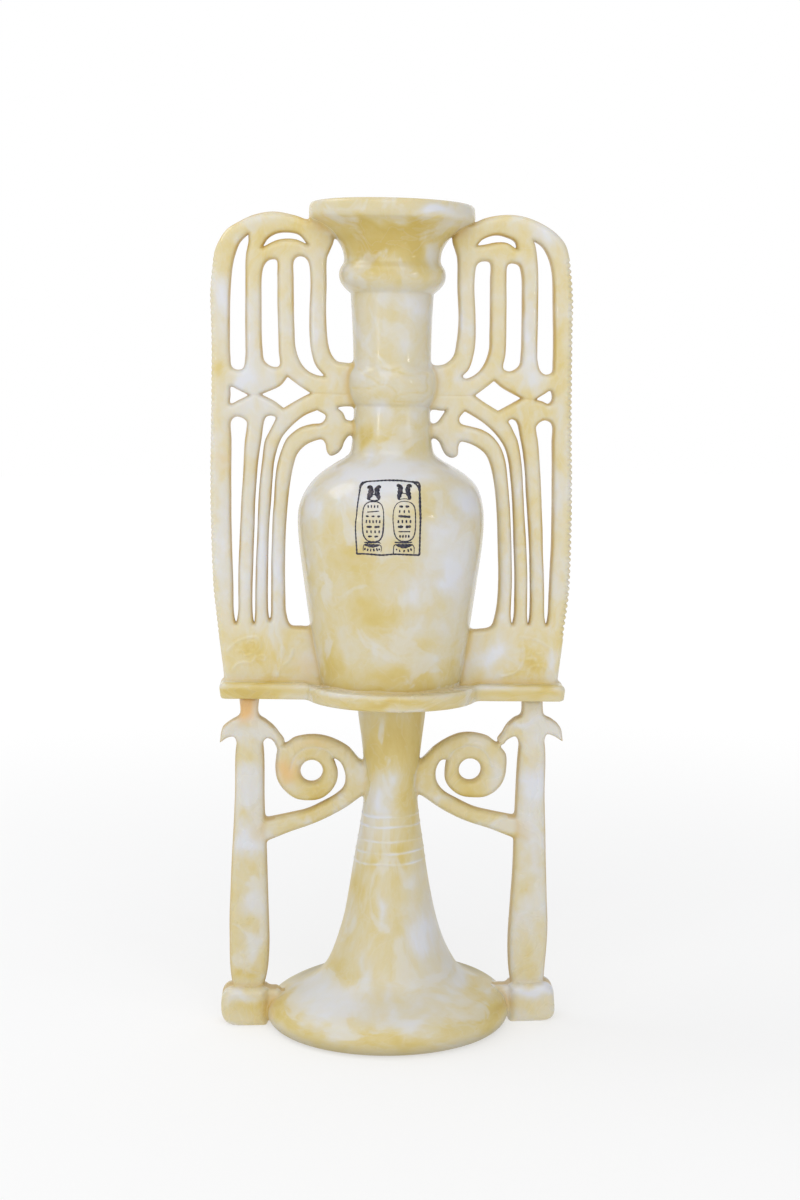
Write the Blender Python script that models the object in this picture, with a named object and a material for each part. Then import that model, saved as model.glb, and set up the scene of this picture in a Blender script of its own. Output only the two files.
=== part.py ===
import bpy
import bmesh
import math

# A hollow vase stands between two openwork wings of palm ribs on a narrow board. Under the board
# a trumpet stem, two posts with scrolls and a round foot carry it.

for old in list(bpy.data.objects):
    bpy.data.objects.remove(old, do_unlink=True)

mm = 0.001

# Heights and depths, in millimetres.
board_under = 244.0
board_top = 256.8
joint_gap = 0.3
board_half_length = 126.5
board_half_depth = 19.0
board_corner = 7.0
disc_radius = 65.0
board_round = 2.0
wing_half_depth = 6.0
wing_round = 1.7
post_half_depth = 8.5
post_round = 3.0
crescent_half_depth = 7.5
crescent_round = 1.3
scroll_half_depth = 6.5
scroll_round = 1.8
block_width = 33.0
block_depth = 30.0
block_height = 28.0
block_round = 5.0
block_out = 107.5
web_width = 12.0
web_depth = 17.0
web_height = 20.0
web_out = 89.0
web_low = 3.0
web_round = 3.0

# Small faults of a hand-finished piece: the vessel's level lines drop to the right,
# the vase leans a little to the right and the stand a little to the left.
askew = 0.0157
vase_lean = 0.006
vase_plumb_at = 400.0
stand_lean = 0.0125
stand_plumb_at = 215.0
stand_askew_above = 240.0

# Small scallops along the right wing's outer edge. Those on the left are worn almost flat.
scallop_pitch = 4.25
scallop_low = 286.0
scallop_high = 562.0
scallop_depth = 1.1

turned_sides = 28
hollow_sides = 24

# Turned shapes: radius, height.
vase_outside = [
    (0.0, 602.0), (56.2, 602.0), (58.6, 600.4), (59.4, 596.5), (59.4, 590.5), (57.8, 587.6),
    (51.5, 584.3), (45.6, 580.3), (41.0, 576.0), (37.8, 571.5), (35.6, 566.5), (34.4, 561.0),
    (34.9, 557.8), (37.3, 553.6), (38.0, 549.4), (37.0, 544.6), (33.4, 539.6), (30.2, 536.4),
    (29.0, 530.0), (28.0, 513.0), (27.8, 486.4), (28.8, 484.2), (31.3, 480.0), (32.4, 473.0),
    (31.4, 464.5), (28.8, 458.6), (27.4, 456.2), (28.9, 430.0), (30.6, 422.3),
    (34.5, 418.6), (42.5, 413.7), (50.8, 407.8), (57.9, 400.8), (63.6, 392.0), (66.7, 382.0),
    (67.3, 372.5), (66.4, 358.0), (63.8, 336.5), (57.8, 294.0), (51.3, 255.0), (51.0, 250.0),
    (0.0, 250.0)]
vase_hollow = [
    (0.0, 606.0), (52.9, 606.0), (52.0, 599.5), (49.0, 592.0), (42.5, 584.0), (36.0, 577.0),
    (30.5, 568.0), (26.0, 554.0), (23.2, 540.0), (22.5, 524.0), (22.3, 446.0), (23.4, 430.0),
    (25.0, 420.5), (29.0, 415.5), (38.8, 409.4), (47.2, 403.6), (53.5, 397.4), (58.7, 389.2),
    (61.8, 375.0), (60.9, 358.5), (55.6, 316.0), (47.8, 270.0), (44.0, 264.0), (0.0, 262.0)]
stem_and_foot = [
    (0.0, 243.7), (26.0, 243.7), (25.2, 236.0), (23.9, 225.0), (22.2, 212.0), (20.6, 197.0),
    (19.9, 182.0), (20.1, 167.0), (21.6, 154.0), (24.0, 138.0), (26.8, 120.0), (30.0, 100.5),
    (33.6, 82.0), (37.2, 69.0), (41.6, 57.0), (45.6, 48.5), (49.5, 42.0), (54.5, 36.8),
    (62.0, 32.4), (71.0, 28.6), (79.5, 24.6), (85.5, 20.0), (88.7, 14.5), (89.9, 9.0),
    (88.8, 4.2), (85.5, 1.2), (79.0, 0.0), (0.0, 0.0)]

# Wing outline on the right: distance out, height. It runs up the outer edge and over the arch
# from the board to the lip, and back down through the wall of the vase.
wing_edge = [
    (121.6, 250.0), (123.4, 262.0), (126.4, 292.0), (129.8, 324.0), (131.2, 356.0), (131.4, 400.0),
    (131.1, 460.0), (130.6, 505.0), (129.6, 535.0), (128.3, 554.0), (126.8, 564.5), (123.6, 573.0),
    (118.0, 580.8), (109.0, 587.6), (97.5, 591.8), (84.0, 593.9), (68.0, 591.4), (58.5, 587.6)]
wing_inside = [
    (52.0, 588.5), (42.0, 580.5), (42.5, 577.8), (42.9, 572.4), (45.2, 566.0), (47.0, 561.5),
    (47.5, 540.0), (47.9, 519.0), (46.8, 502.5), (44.2, 493.3), (39.4, 487.5), (34.3, 486.1),
    (25.2, 486.0), (25.2, 455.8), (38.2, 455.8), (39.2, 453.9), (35.4, 450.6), (33.0, 445.9),
    (30.5, 444.0), (25.2, 443.6), (25.2, 434.6), (29.5, 434.4), (34.3, 431.0), (36.7, 425.6),
    (39.7, 421.8), (44.0, 419.8), (46.6, 422.3), (48.2, 428.5), (50.2, 431.4), (54.8, 431.2),
    (61.6, 427.8), (68.0, 422.0), (72.4, 413.5), (75.4, 391.0), (77.8, 360.0), (78.1, 320.0),
    (76.8, 304.0), (72.9, 296.9), (65.0, 295.0), (54.8, 294.4), (48.2, 258.0), (48.2, 250.0)]

wing_openings = {
    "outer_slot": [
        (101.9, 576.6), (108.1, 571.5), (112.4, 563.0), (114.8, 553.0), (116.2, 535.0), (116.6, 490.0),
        (115.5, 482.7), (111.6, 480.2), (107.8, 482.7), (105.2, 490.3), (104.9, 500.0), (105.2, 545.0),
        (104.2, 562.0), (102.6, 572.0)],
    "crescent": [
        (61.6, 571.6), (67.8, 573.3), (75.2, 574.2), (82.4, 572.3), (91.6, 568.1), (88.2, 574.2),
        (82.4, 578.1), (75.0, 579.9), (65.6, 577.0)],
    "middle_slot": [
        (92.9, 551.5), (90.6, 557.6), (86.6, 560.8), (83.0, 558.4), (81.9, 548.0), (82.2, 528.0),
        (81.3, 495.0), (81.2, 484.2), (86.0, 482.7), (91.8, 487.0), (93.6, 496.0), (94.0, 530.0)],
    "inner_slot": [
        (60.0, 557.8), (62.2, 560.9), (66.1, 562.2), (69.4, 559.2), (70.7, 546.0), (70.7, 511.0),
        (69.6, 497.0), (66.2, 486.0), (60.6, 480.4), (53.6, 476.9), (49.4, 477.6), (54.8, 484.7),
        (58.2, 494.4), (59.3, 505.0), (59.5, 522.0), (58.6, 545.0)],
    "diamond": [
        (74.5, 475.9), (66.8, 470.2), (59.8, 464.8), (66.1, 460.4), (77.6, 453.6), (84.2, 458.5),
        (93.4, 463.3), (80.2, 470.4)],
    "triangle": [
        (104.2, 462.6), (109.0, 459.5), (115.1, 457.5), (116.3, 463.0), (115.7, 469.2), (110.3, 466.7)],
    "lower_outer_slot": [
        (116.0, 445.0), (110.8, 447.6), (104.8, 443.6), (104.8, 438.5), (106.8, 427.5), (108.2, 400.0),
        (110.3, 345.0), (111.5, 303.0), (113.2, 298.4), (114.9, 302.0), (116.9, 362.0), (116.8, 430.0)],
    "lower_middle_slot": [
        (91.0, 446.9), (87.0, 448.9), (83.5, 446.8), (84.0, 443.9), (88.6, 436.6), (91.7, 428.5),
        (93.9, 415.0), (98.3, 303.0), (100.0, 297.9), (101.3, 303.0), (96.8, 415.0), (94.8, 429.2)],
    "lower_inner_slot": [
        (53.3, 453.4), (48.3, 448.4), (50.0, 444.0), (57.4, 442.3), (65.4, 439.5), (72.5, 435.2),
        (78.7, 427.5), (82.4, 416.4), (83.4, 398.0), (87.2, 304.0), (88.6, 299.6), (90.4, 304.0),
        (86.2, 392.0), (85.5, 413.0), (82.4, 427.6), (76.7, 436.8), (69.3, 444.2), (61.6, 449.4)]}

# On the right: the post, the drooping crescent with the peg above it, then the scroll and its arm.
post_outline = [
    (116.0, 22.0), (118.0, 42.0), (118.2, 70.0), (117.2, 97.0), (115.6, 132.0), (114.1, 170.0),
    (113.5, 208.0), (110.0, 219.0), (97.5, 219.0), (93.6, 208.0), (93.4, 168.0), (91.9, 118.0),
    (90.1, 90.0), (89.2, 62.0), (90.3, 38.0), (92.6, 22.0)]
crescent_outline = [
    (109.0, 205.0), (113.4, 211.2), (115.6, 214.4), (119.8, 214.8), (125.9, 210.8), (123.2, 220.6),
    (118.6, 226.2), (111.7, 230.4), (111.2, 243.7), (96.6, 243.7), (96.7, 230.4), (91.2, 227.0),
    (85.6, 222.2), (81.2, 216.8), (78.8, 211.2), (82.5, 208.0), (85.6, 211.6), (91.2, 213.2),
    (93.6, 211.4), (98.0, 205.0)]
scroll_outline = [
    (104.0, 151.0), (91.9, 153.9), (73.4, 158.2), (61.4, 161.4), (50.4, 166.4), (40.3, 172.8),
    (35.0, 177.4), (33.3, 183.8), (34.4, 190.4), (37.6, 195.8), (42.1, 198.2), (41.6, 194.6),
    (40.3, 188.0), (41.3, 181.0), (45.0, 173.9), (51.4, 168.4), (60.3, 166.8), (70.6, 168.9),
    (78.6, 175.2), (83.3, 182.6), (85.4, 191.6), (84.6, 200.2), (83.6, 206.4), (88.0, 214.5),
    (82.0, 214.5), (78.6, 211.2), (71.2, 214.8), (59.4, 216.7), (50.2, 215.8), (41.0, 212.2),
    (31.0, 206.0), (24.6, 199.4), (14.0, 188.0), (14.0, 178.0), (27.4, 165.7), (40.4, 157.4),
    (55.1, 150.4), (73.5, 144.0), (92.3, 138.8), (104.0, 136.0)]
scroll_eye_out = 58.4
scroll_eye_height = 189.2
scroll_eye_radius = 8.2
scroll_eye_sides = 12


def stand_up(side):
    """Places an outline upright, facing front, on the given side."""
    return lambda out, height, depth: (side * out * mm, depth * mm, height * mm)


def lay_flat(out, back, height):
    """Places an outline level."""
    return (out * mm, back * mm, height * mm)


def area(points):
    """Twice the area inside an outline, above zero when it runs anticlockwise."""
    total = 0.0
    for i in range(len(points)):
        total += points[i - 1][0] * points[i][1] - points[i][0] * points[i - 1][1]
    return total


def drawn_in(points, amount):
    """The outline moved to its left by amount, corners kept."""
    moved = []
    for i in range(len(points)):
        ax, ay = points[i - 1]
        bx, by = points[i]
        cx, cy = points[(i + 1) % len(points)]
        before = math.hypot(bx - ax, by - ay)
        after = math.hypot(cx - bx, cy - by)
        px, py = (ay - by) / before, (bx - ax) / before
        qx, qy = (by - cy) / after, (cx - bx) / after
        reach = amount / max(1.0 + px * qx + py * qy, 0.7)
        moved.append((bx + (px + qx) * reach, by + (py + qy) * reach))
    return moved


def add_object(name, mesh_data):
    """Puts a finished mesh in the scene under its name."""
    mesh = bpy.data.meshes.new(name)
    bmesh.ops.recalc_face_normals(mesh_data, faces=mesh_data.faces)
    mesh_data.to_mesh(mesh)
    mesh_data.free()
    made = bpy.data.objects.new(name, mesh)
    bpy.context.scene.collection.objects.link(made)
    return made


def slab(name, outline, openings, levels, place):
    """A slab with openings. levels lists the inset of every edge at each depth."""
    edges = [outline if area(outline) > 0.0 else outline[::-1]]
    for hole in openings:
        edges.append(hole if area(hole) < 0.0 else hole[::-1])
    made = bmesh.new()
    caps = [[], []]
    for edge in edges:
        rings = []
        for inset, depth in levels:
            ring = drawn_in(edge, inset)
            rings.append([made.verts.new(place(u, v, depth)) for u, v in ring])
        for lower, upper in zip(rings, rings[1:]):
            for i in range(len(lower)):
                made.faces.new((lower[i - 1], lower[i], upper[i], upper[i - 1]))
        for cap, ring in zip(caps, (rings[0], rings[-1])):
            cap += [made.edges.get((ring[i - 1], ring[i])) for i in range(len(ring))]
    for cap in caps:
        bmesh.ops.triangle_fill(made, use_beauty=True, use_dissolve=False, edges=cap)
    return add_object(name, made)


def rounded_levels(half_depth, rounding, middle=0.0):
    """Insets of a slab whose faces are crowned towards both edges."""
    return [(rounding, middle - half_depth), (0.0, middle), (rounding, middle + half_depth)]


def turned(name, profile, sides):
    """A solid of revolution about the upright middle line."""
    made = bmesh.new()
    rings = []
    for radius, height in profile:
        if radius == 0.0:
            rings.append([made.verts.new((0.0, 0.0, height * mm))])
            continue
        ring = []
        for i in range(sides):
            turn = 2.0 * math.pi * i / sides
            x, y = radius * math.cos(turn), radius * math.sin(turn)
            ring.append(made.verts.new((x * mm, y * mm, height * mm)))
        rings.append(ring)
    for upper, lower in zip(rings, rings[1:]):
        for i in range(sides):
            if len(upper) == 1:
                made.faces.new((upper[0], lower[i - 1], lower[i]))
            elif len(lower) == 1:
                made.faces.new((upper[i - 1], lower[0], upper[i]))
            else:
                made.faces.new((upper[i - 1], lower[i - 1], lower[i], upper[i]))
    return add_object(name, made)


def soft_block(name, width, depth, height, rounding, out, low):
    """A block with rounded edges, standing at a distance out and a height above the ground."""
    made = bmesh.new()
    bmesh.ops.create_cube(made, size=1.0)
    for corner in made.verts:
        corner.co.x = (corner.co.x * width + out) * mm
        corner.co.y = corner.co.y * depth * mm
        corner.co.z = ((corner.co.z + 0.5) * height + low) * mm
    bmesh.ops.bevel(made, geom=made.edges[:], offset=rounding * mm, segments=2, affect="EDGES", profile=0.5)
    return add_object(name, made)


def combine(base, other, how):
    """Joins a second solid to the first, or cuts it out."""
    step = base.modifiers.new("combine", "BOOLEAN")
    step.operation = how
    step.solver = "EXACT"
    step.object = other
    graph = bpy.context.evaluated_depsgraph_get()
    mesh = bpy.data.meshes.new_from_object(base.evaluated_get(graph))
    base.modifiers.clear()
    base.data = mesh
    bpy.data.objects.remove(other, do_unlink=True)
    return base


def lean(solid, amount, plumb_at, only_below):
    """Leans a solid to the right with height."""
    for corner in solid.data.vertices:
        rise = corner.co.z - plumb_at * mm
        if rise < 0.0 or not only_below:
            corner.co.x += amount * rise


def set_askew(solid, above):
    """Drops the right of everything above a height and lifts its left."""
    for corner in solid.data.vertices:
        if corner.co.z > above * mm:
            corner.co.z -= askew * corner.co.x


def finish(solid, name, colour, roughness):
    """Names a solid, smooths it and gives it its material."""
    solid.name = name
    solid.data.name = name
    material = bpy.data.materials.new(name + "_cast_marble")
    material.use_nodes = True
    shader = material.node_tree.nodes["Principled BSDF"]
    shader.inputs["Base Color"].default_value = (colour[0], colour[1], colour[2], 1.0)
    shader.inputs["Roughness"].default_value = roughness
    solid.data.materials.clear()
    solid.data.materials.append(material)
    solid.data.shade_smooth()
    solid.data.set_sharp_from_angle(angle=math.radians(35.0))


def edge_at(height):
    """Distance out of the wing's outer edge at a height."""
    for (low_out, low), (high_out, high) in zip(wing_edge, wing_edge[1:]):
        if low <= height <= high:
            return low_out + (high_out - low_out) * (height - low) / (high - low)
    return wing_edge[0][0]


def scalloped_edge():
    """The right wing's outer edge with its row of small scallops."""
    points = [point for point in wing_edge if point[1] < scallop_low]
    arch = [point for point in wing_edge if point[1] > scallop_high or point[0] < wing_edge[0][0]]
    count = int((scallop_high - scallop_low) / scallop_pitch)
    for i in range(count):
        low = scallop_low + i * scallop_pitch
        points.append((edge_at(low) - scallop_depth, low))
        points.append((edge_at(low + 0.3 * scallop_pitch), low + 0.3 * scallop_pitch))
        points.append((edge_at(low + 0.7 * scallop_pitch), low + 0.7 * scallop_pitch))
    return points + arch


def board_outline():
    """Plan of the board with its round middle."""
    points = []
    inner_x = board_half_length - board_corner
    inner_y = board_half_depth - board_corner
    meet = math.asin(board_half_depth / disc_radius)
    for turn in range(4):
        corner = []
        for i in range(4):
            angle = 0.5 * math.pi * i / 3.0
            corner.append((inner_x + board_corner * math.cos(angle), inner_y + board_corner * math.sin(angle)))
        if turn in (1, 3):
            corner = [(-x, y) for x, y in reversed(corner)]
        if turn in (2, 3):
            corner = [(x, -y) for x, y in corner]
        if turn == 2:
            corner = [(-x, y) for x, y in corner]
        if turn == 3:
            corner = [(-x, y) for x, y in corner]
        points += corner
        if turn in (0, 2):
            for i in range(13):
                angle = meet + (math.pi - 2.0 * meet) * i / 12.0 + (0.0 if turn == 0 else math.pi)
                points.append((disc_radius * math.cos(angle), disc_radius * math.sin(angle)))
    return points


# Vessel: vase, wings, and the board they stand on, cast as one and hollow.
vessel = turned("vase", vase_outside, turned_sides)
lean(vessel, vase_lean, vase_plumb_at, False)
board_levels = [
    (board_round, board_under), (0.0, board_under + board_round),
    (0.0, board_top - board_round), (board_round, board_top)]
combine(vessel, slab("board", board_outline(), [], board_levels, lay_flat), "UNION")
wing_levels = rounded_levels(wing_half_depth, wing_round)
for side, outer_edge in ((1.0, scalloped_edge()), (-1.0, wing_edge)):
    wing = slab("wing", outer_edge + wing_inside, wing_openings.values(), wing_levels, stand_up(side))
    combine(vessel, wing, "UNION")
hollow = turned("hollow", vase_hollow, hollow_sides)
lean(hollow, vase_lean, vase_plumb_at, False)
combine(vessel, hollow, "DIFFERENCE")
set_askew(vessel, 0.0)
finish(vessel, "vessel", (0.80, 0.73, 0.52), 0.22)

# Stand: stem and foot in one, with a post, a scroll, a block and a web on each side.
stand = turned("stem", stem_and_foot, turned_sides)
eye = []
for i in range(scroll_eye_sides):
    turn = 2.0 * math.pi * i / scroll_eye_sides
    out = scroll_eye_out + scroll_eye_radius * math.cos(turn)
    eye.append((out, scroll_eye_height + scroll_eye_radius * math.sin(turn)))
post_levels = rounded_levels(post_half_depth, post_round)
crescent_levels = rounded_levels(crescent_half_depth, crescent_round)
scroll_levels = rounded_levels(scroll_half_depth, scroll_round)
for side in (1.0, -1.0):
    post = slab("post", post_outline, [], post_levels, stand_up(side))
    crescent = slab("crescent", crescent_outline, [], crescent_levels, stand_up(side))
    scroll = slab("scroll", scroll_outline, [eye], scroll_levels, stand_up(side))
    block = soft_block("block", block_width, block_depth, block_height, block_round, side * block_out, 0.0)
    web = soft_block("web", web_width, web_depth, web_height, web_round, side * web_out, web_low)
    for piece in (scroll, crescent, post, block, web):
        combine(stand, piece, "UNION")
lean(stand, stand_lean, stand_plumb_at, True)
set_askew(stand, stand_askew_above)
finish(stand, "stand", (0.82, 0.75, 0.55), 0.22)
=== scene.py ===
import math
import bpy
import numpy as np
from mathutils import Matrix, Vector


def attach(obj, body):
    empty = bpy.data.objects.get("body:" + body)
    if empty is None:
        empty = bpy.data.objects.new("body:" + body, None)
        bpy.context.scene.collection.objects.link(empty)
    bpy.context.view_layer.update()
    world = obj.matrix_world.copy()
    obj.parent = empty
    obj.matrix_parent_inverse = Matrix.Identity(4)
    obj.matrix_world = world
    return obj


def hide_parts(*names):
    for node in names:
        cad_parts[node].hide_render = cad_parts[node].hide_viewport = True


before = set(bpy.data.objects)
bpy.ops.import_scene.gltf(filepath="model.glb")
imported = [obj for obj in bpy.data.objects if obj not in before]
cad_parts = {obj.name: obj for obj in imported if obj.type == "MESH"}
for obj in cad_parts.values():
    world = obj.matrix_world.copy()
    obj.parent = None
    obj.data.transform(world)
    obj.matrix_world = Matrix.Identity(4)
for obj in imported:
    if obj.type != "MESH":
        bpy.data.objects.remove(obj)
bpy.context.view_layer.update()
print("frame loaded:", ", ".join(sorted(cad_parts)))

# Lengths below are in millimetres, angles in degrees. The object's front faces -Y.
coarse = 1.0
mm = 0.001
tuck = 0.05                      # how far a skin dips below the part that it flows into


# A line through points: between two of them a cubic whose slopes follow the neighbours, spaced by
# the square root of the chords, read at even steps. A third value on a point keeps it a corner.
def smoothed(points, step, closed=True):
    corners = [i for i, p in enumerate(points) if len(p) > 2]
    flat = np.array([p[:2] for p in points], float)
    if closed and corners:
        flat = np.roll(flat, -corners[0], axis=0)
        cuts = [i - corners[0] for i in corners] + [len(flat)]
        flat = np.vstack([flat, flat[:1]])
        parts = [smoothed(flat[a:b + 1].tolist(), step, False) for a, b in zip(cuts, cuts[1:])]
        return np.vstack([part[:-1] for part in parts])
    if corners:
        cuts = [0] + corners + [len(flat) - 1]
        parts = [smoothed(flat[a:b + 1].tolist(), step, False) for a, b in zip(cuts, cuts[1:])]
        return np.vstack([part[:-1] for part in parts] + [flat[-1:]])
    if closed:
        p = np.vstack([flat[-1:], flat, flat[:2]])
    else:
        p = np.vstack([2 * flat[:1] - flat[1:2], flat, 2 * flat[-1:] - flat[-2:-1]])
    knots = np.concatenate([[0.0], np.cumsum(np.linalg.norm(np.diff(p, axis=0), axis=1) ** 0.5)])
    t0, t1, t2, t3 = (knots[i:len(knots) - 3 + i, None] for i in range(4))
    p0, p1, p2, p3 = (p[i:len(p) - 3 + i, None, :] for i in range(4))
    readings = 14
    t = t1 + (t2 - t1) * np.linspace(0.0, 1.0, readings, endpoint=False)

    def between(a, b, low, high):
        share = ((t - low) / (high - low))[..., None]
        return a * (1.0 - share) + b * share

    a, b, c = between(p0, p1, t0, t1), between(p1, p2, t1, t2), between(p2, p3, t2, t3)
    line = between(between(a, b, t0, t2), between(b, c, t1, t3), t1, t2).reshape(-1, 2)
    line = np.vstack([line, flat[:1] if closed else flat[-1:]])
    along = np.concatenate([[0.0], np.cumsum(np.linalg.norm(np.diff(line, axis=0), axis=1))])
    count = max(int(round(along[-1] / step)), 2)
    at = np.linspace(0.0, along[-1], count + 1)
    line = np.column_stack([np.interp(at, along, line[:, 0]), np.interp(at, along, line[:, 1])])
    return line[:-1] if closed else line


# Distance in the plane from a grid of points to the nearest of some lines, no more than reach, and
# below zero where a level ray crosses them an odd number of times.
def flatTable(lines, low, high, step, reach, closed=True):
    u = np.arange(low[0], high[0] + step, step)
    v = np.arange(low[1], high[1] + step, step)
    gap = np.full((len(u), len(v)), float(reach))
    crossings = np.zeros((len(u) + 1, len(v)), int)
    batch = 8
    for line in lines:
        a = line if closed else line[:-1]
        b = np.roll(line, -1, axis=0) if closed else line[1:]
        segment, row = np.nonzero((a[:, 1, None] <= v) != (b[:, 1, None] <= v))
        share = (v[row] - a[segment, 1]) / (b[segment, 1] - a[segment, 1])
        across = a[segment, 0] + share * (b[segment, 0] - a[segment, 0])
        np.add.at(crossings, (np.searchsorted(u, across), row), 1)
        for first in range(0, len(a), batch):
            some = slice(first, first + batch)
            start, way = a[some], b[some] - a[some]
            ends = np.vstack([start, start + way])
            lowCell = np.maximum(((ends.min(0) - reach - low) / step).astype(int), 0)
            highCell = np.maximum(((ends.max(0) + reach - low) / step).astype(int) + 2, 0)
            block = (slice(lowCell[0], highCell[0]), slice(lowCell[1], highCell[1]))
            du, dv = u[block[0], None, None] - start[:, 0], v[None, block[1], None] - start[:, 1]
            share = np.clip((du * way[:, 0] + dv * way[:, 1]) / (way ** 2).sum(1), 0.0, 1.0)
            far = np.hypot(du - share * way[:, 0], dv - share * way[:, 1])
            if far.size:
                gap[block] = np.minimum(gap[block], far.min(-1))
    if closed:
        gap = np.where(np.cumsum(crossings, 0)[:-1] % 2 == 1, -gap, gap)
    return {"low": low, "step": step, "gap": gap}


# A table of the distance to thin open lines.
def lineTable(lines, low, high, step, reach):
    return flatTable([smoothed(line, 1.0, False) for line in lines], low, high, step, reach, False)


# Reads a table between its grid points: the four nearest, each times how near it is in u and in v.
def readTable(table, u, v):
    gap, step = table["gap"], table["step"]
    i = np.clip((u - table["low"][0]) / step, 0, gap.shape[0] - 1.001)
    j = np.clip((v - table["low"][1]) / step, 0, gap.shape[1] - 1.001)
    a, b = i.astype(int), j.astype(int)
    s, t = i - a, j - b
    near = gap[a, b] * (1 - s) + gap[a + 1, b] * s
    far = gap[a, b + 1] * (1 - s) + gap[a + 1, b + 1] * s
    return near * (1 - t) + far * t


# The lesser of two distances, rounded where they differ by less than reach: with near as the share
# of reach that is left of their difference, it is less by near cubed times reach / 6.
def softMin(a, b, reach):
    near = np.maximum(reach - np.abs(a - b), 0.0) / reach
    return np.minimum(a, b) - near ** 3 * reach / 6.0


# Distance to a flat shape given a thickness, with its edges rounded: both distances are drawn in by
# the rounding, then outside it is the root of their squares' sum and inside the greater of them.
def roundedSlab(flat, depth, half, rounding):
    out, back = flat + rounding, np.abs(depth) - half + rounding
    corner = np.hypot(np.maximum(out, 0.0), np.maximum(back, 0.0))
    return corner + np.minimum(np.maximum(out, back), 0.0) - rounding


# Distance to a box with rounded edges, in the same way with three distances.
def roundedBox(x, y, z, size, rounding):
    a, b, c = (np.abs(q) - 0.5 * s + rounding for q, s in zip((x, y, z), size))
    corner = np.sqrt(np.maximum(a, 0.0) ** 2 + np.maximum(b, 0.0) ** 2 + np.maximum(c, 0.0) ** 2)
    return corner + np.minimum(np.maximum(np.maximum(a, b), c), 0.0) - rounding


# 0 below low, 1 above high, between them an S: the share squared times 3 less twice the share.
def rise(value, low, high):
    share = np.clip((value - low) / (high - low), 0.0, 1.0)
    return share * share * (3.0 - 2.0 * share)


# Rises over the first pair of values and falls again over the second.
def hump(value, up, down):
    return rise(value, *up) * (1.0 - rise(value, *down))


# A bell curve: 1 at nought, one e-th at the width.
def bell(far, width):
    return np.exp(-(far / width) ** 2)


# Slow swells of a hand-finished surface, from -1 to 1: the sum of three sine waves with unlike
# lengths and slants, weighted 1, 0.7 and 0.5.
def swell(x, y, z, length, seed=0.0):
    a = np.sin((x * 0.9 + z * 0.6 + y * 0.4) / length + 1.3 + seed)
    b = np.sin((z * 1.1 - x * 0.5 + y * 0.8) / length * 1.7 + 4.1 + 2.0 * seed)
    c = np.sin((x * 1.3 + z * 0.2 - y * 1.1) / length * 2.3 + 0.7 + 3.0 * seed)
    return (a + 0.7 * b + 0.5 * c) / 2.2


# The same swells with their height and length given as a pair.
def swells(pair, x, y, z, seed=0.0):
    return pair[0] * swell(x, y, z, pair[1], seed)


# Makes a mesh object from whole arrays: points in millimetres, four-cornered faces, triangles.
def newPiece(name, points, quads, triangles=None):
    triangles = np.zeros((0, 3), int) if triangles is None else np.asarray(triangles)
    quads = np.asarray(quads).reshape(-1, 4)
    mesh = bpy.data.meshes.new(name)
    mesh.vertices.add(len(points))
    mesh.vertices.foreach_set("co", (np.asarray(points) * mm).astype(np.float32).ravel())
    mesh.loops.add(quads.size + triangles.size)
    mesh.loops.foreach_set("vertex_index", np.concatenate([quads.ravel(), triangles.ravel()]).astype(np.int32))
    mesh.polygons.add(len(quads) + len(triangles))
    starts = np.concatenate([np.arange(len(quads)) * 4, quads.size + np.arange(len(triangles)) * 3])
    mesh.polygons.foreach_set("loop_start", starts.astype(np.int32))
    mesh.update(calc_edges=True)
    mesh.validate()
    mesh.shade_smooth()
    piece = bpy.data.objects.new(name, mesh)
    bpy.context.scene.collection.objects.link(piece)
    return piece


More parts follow.
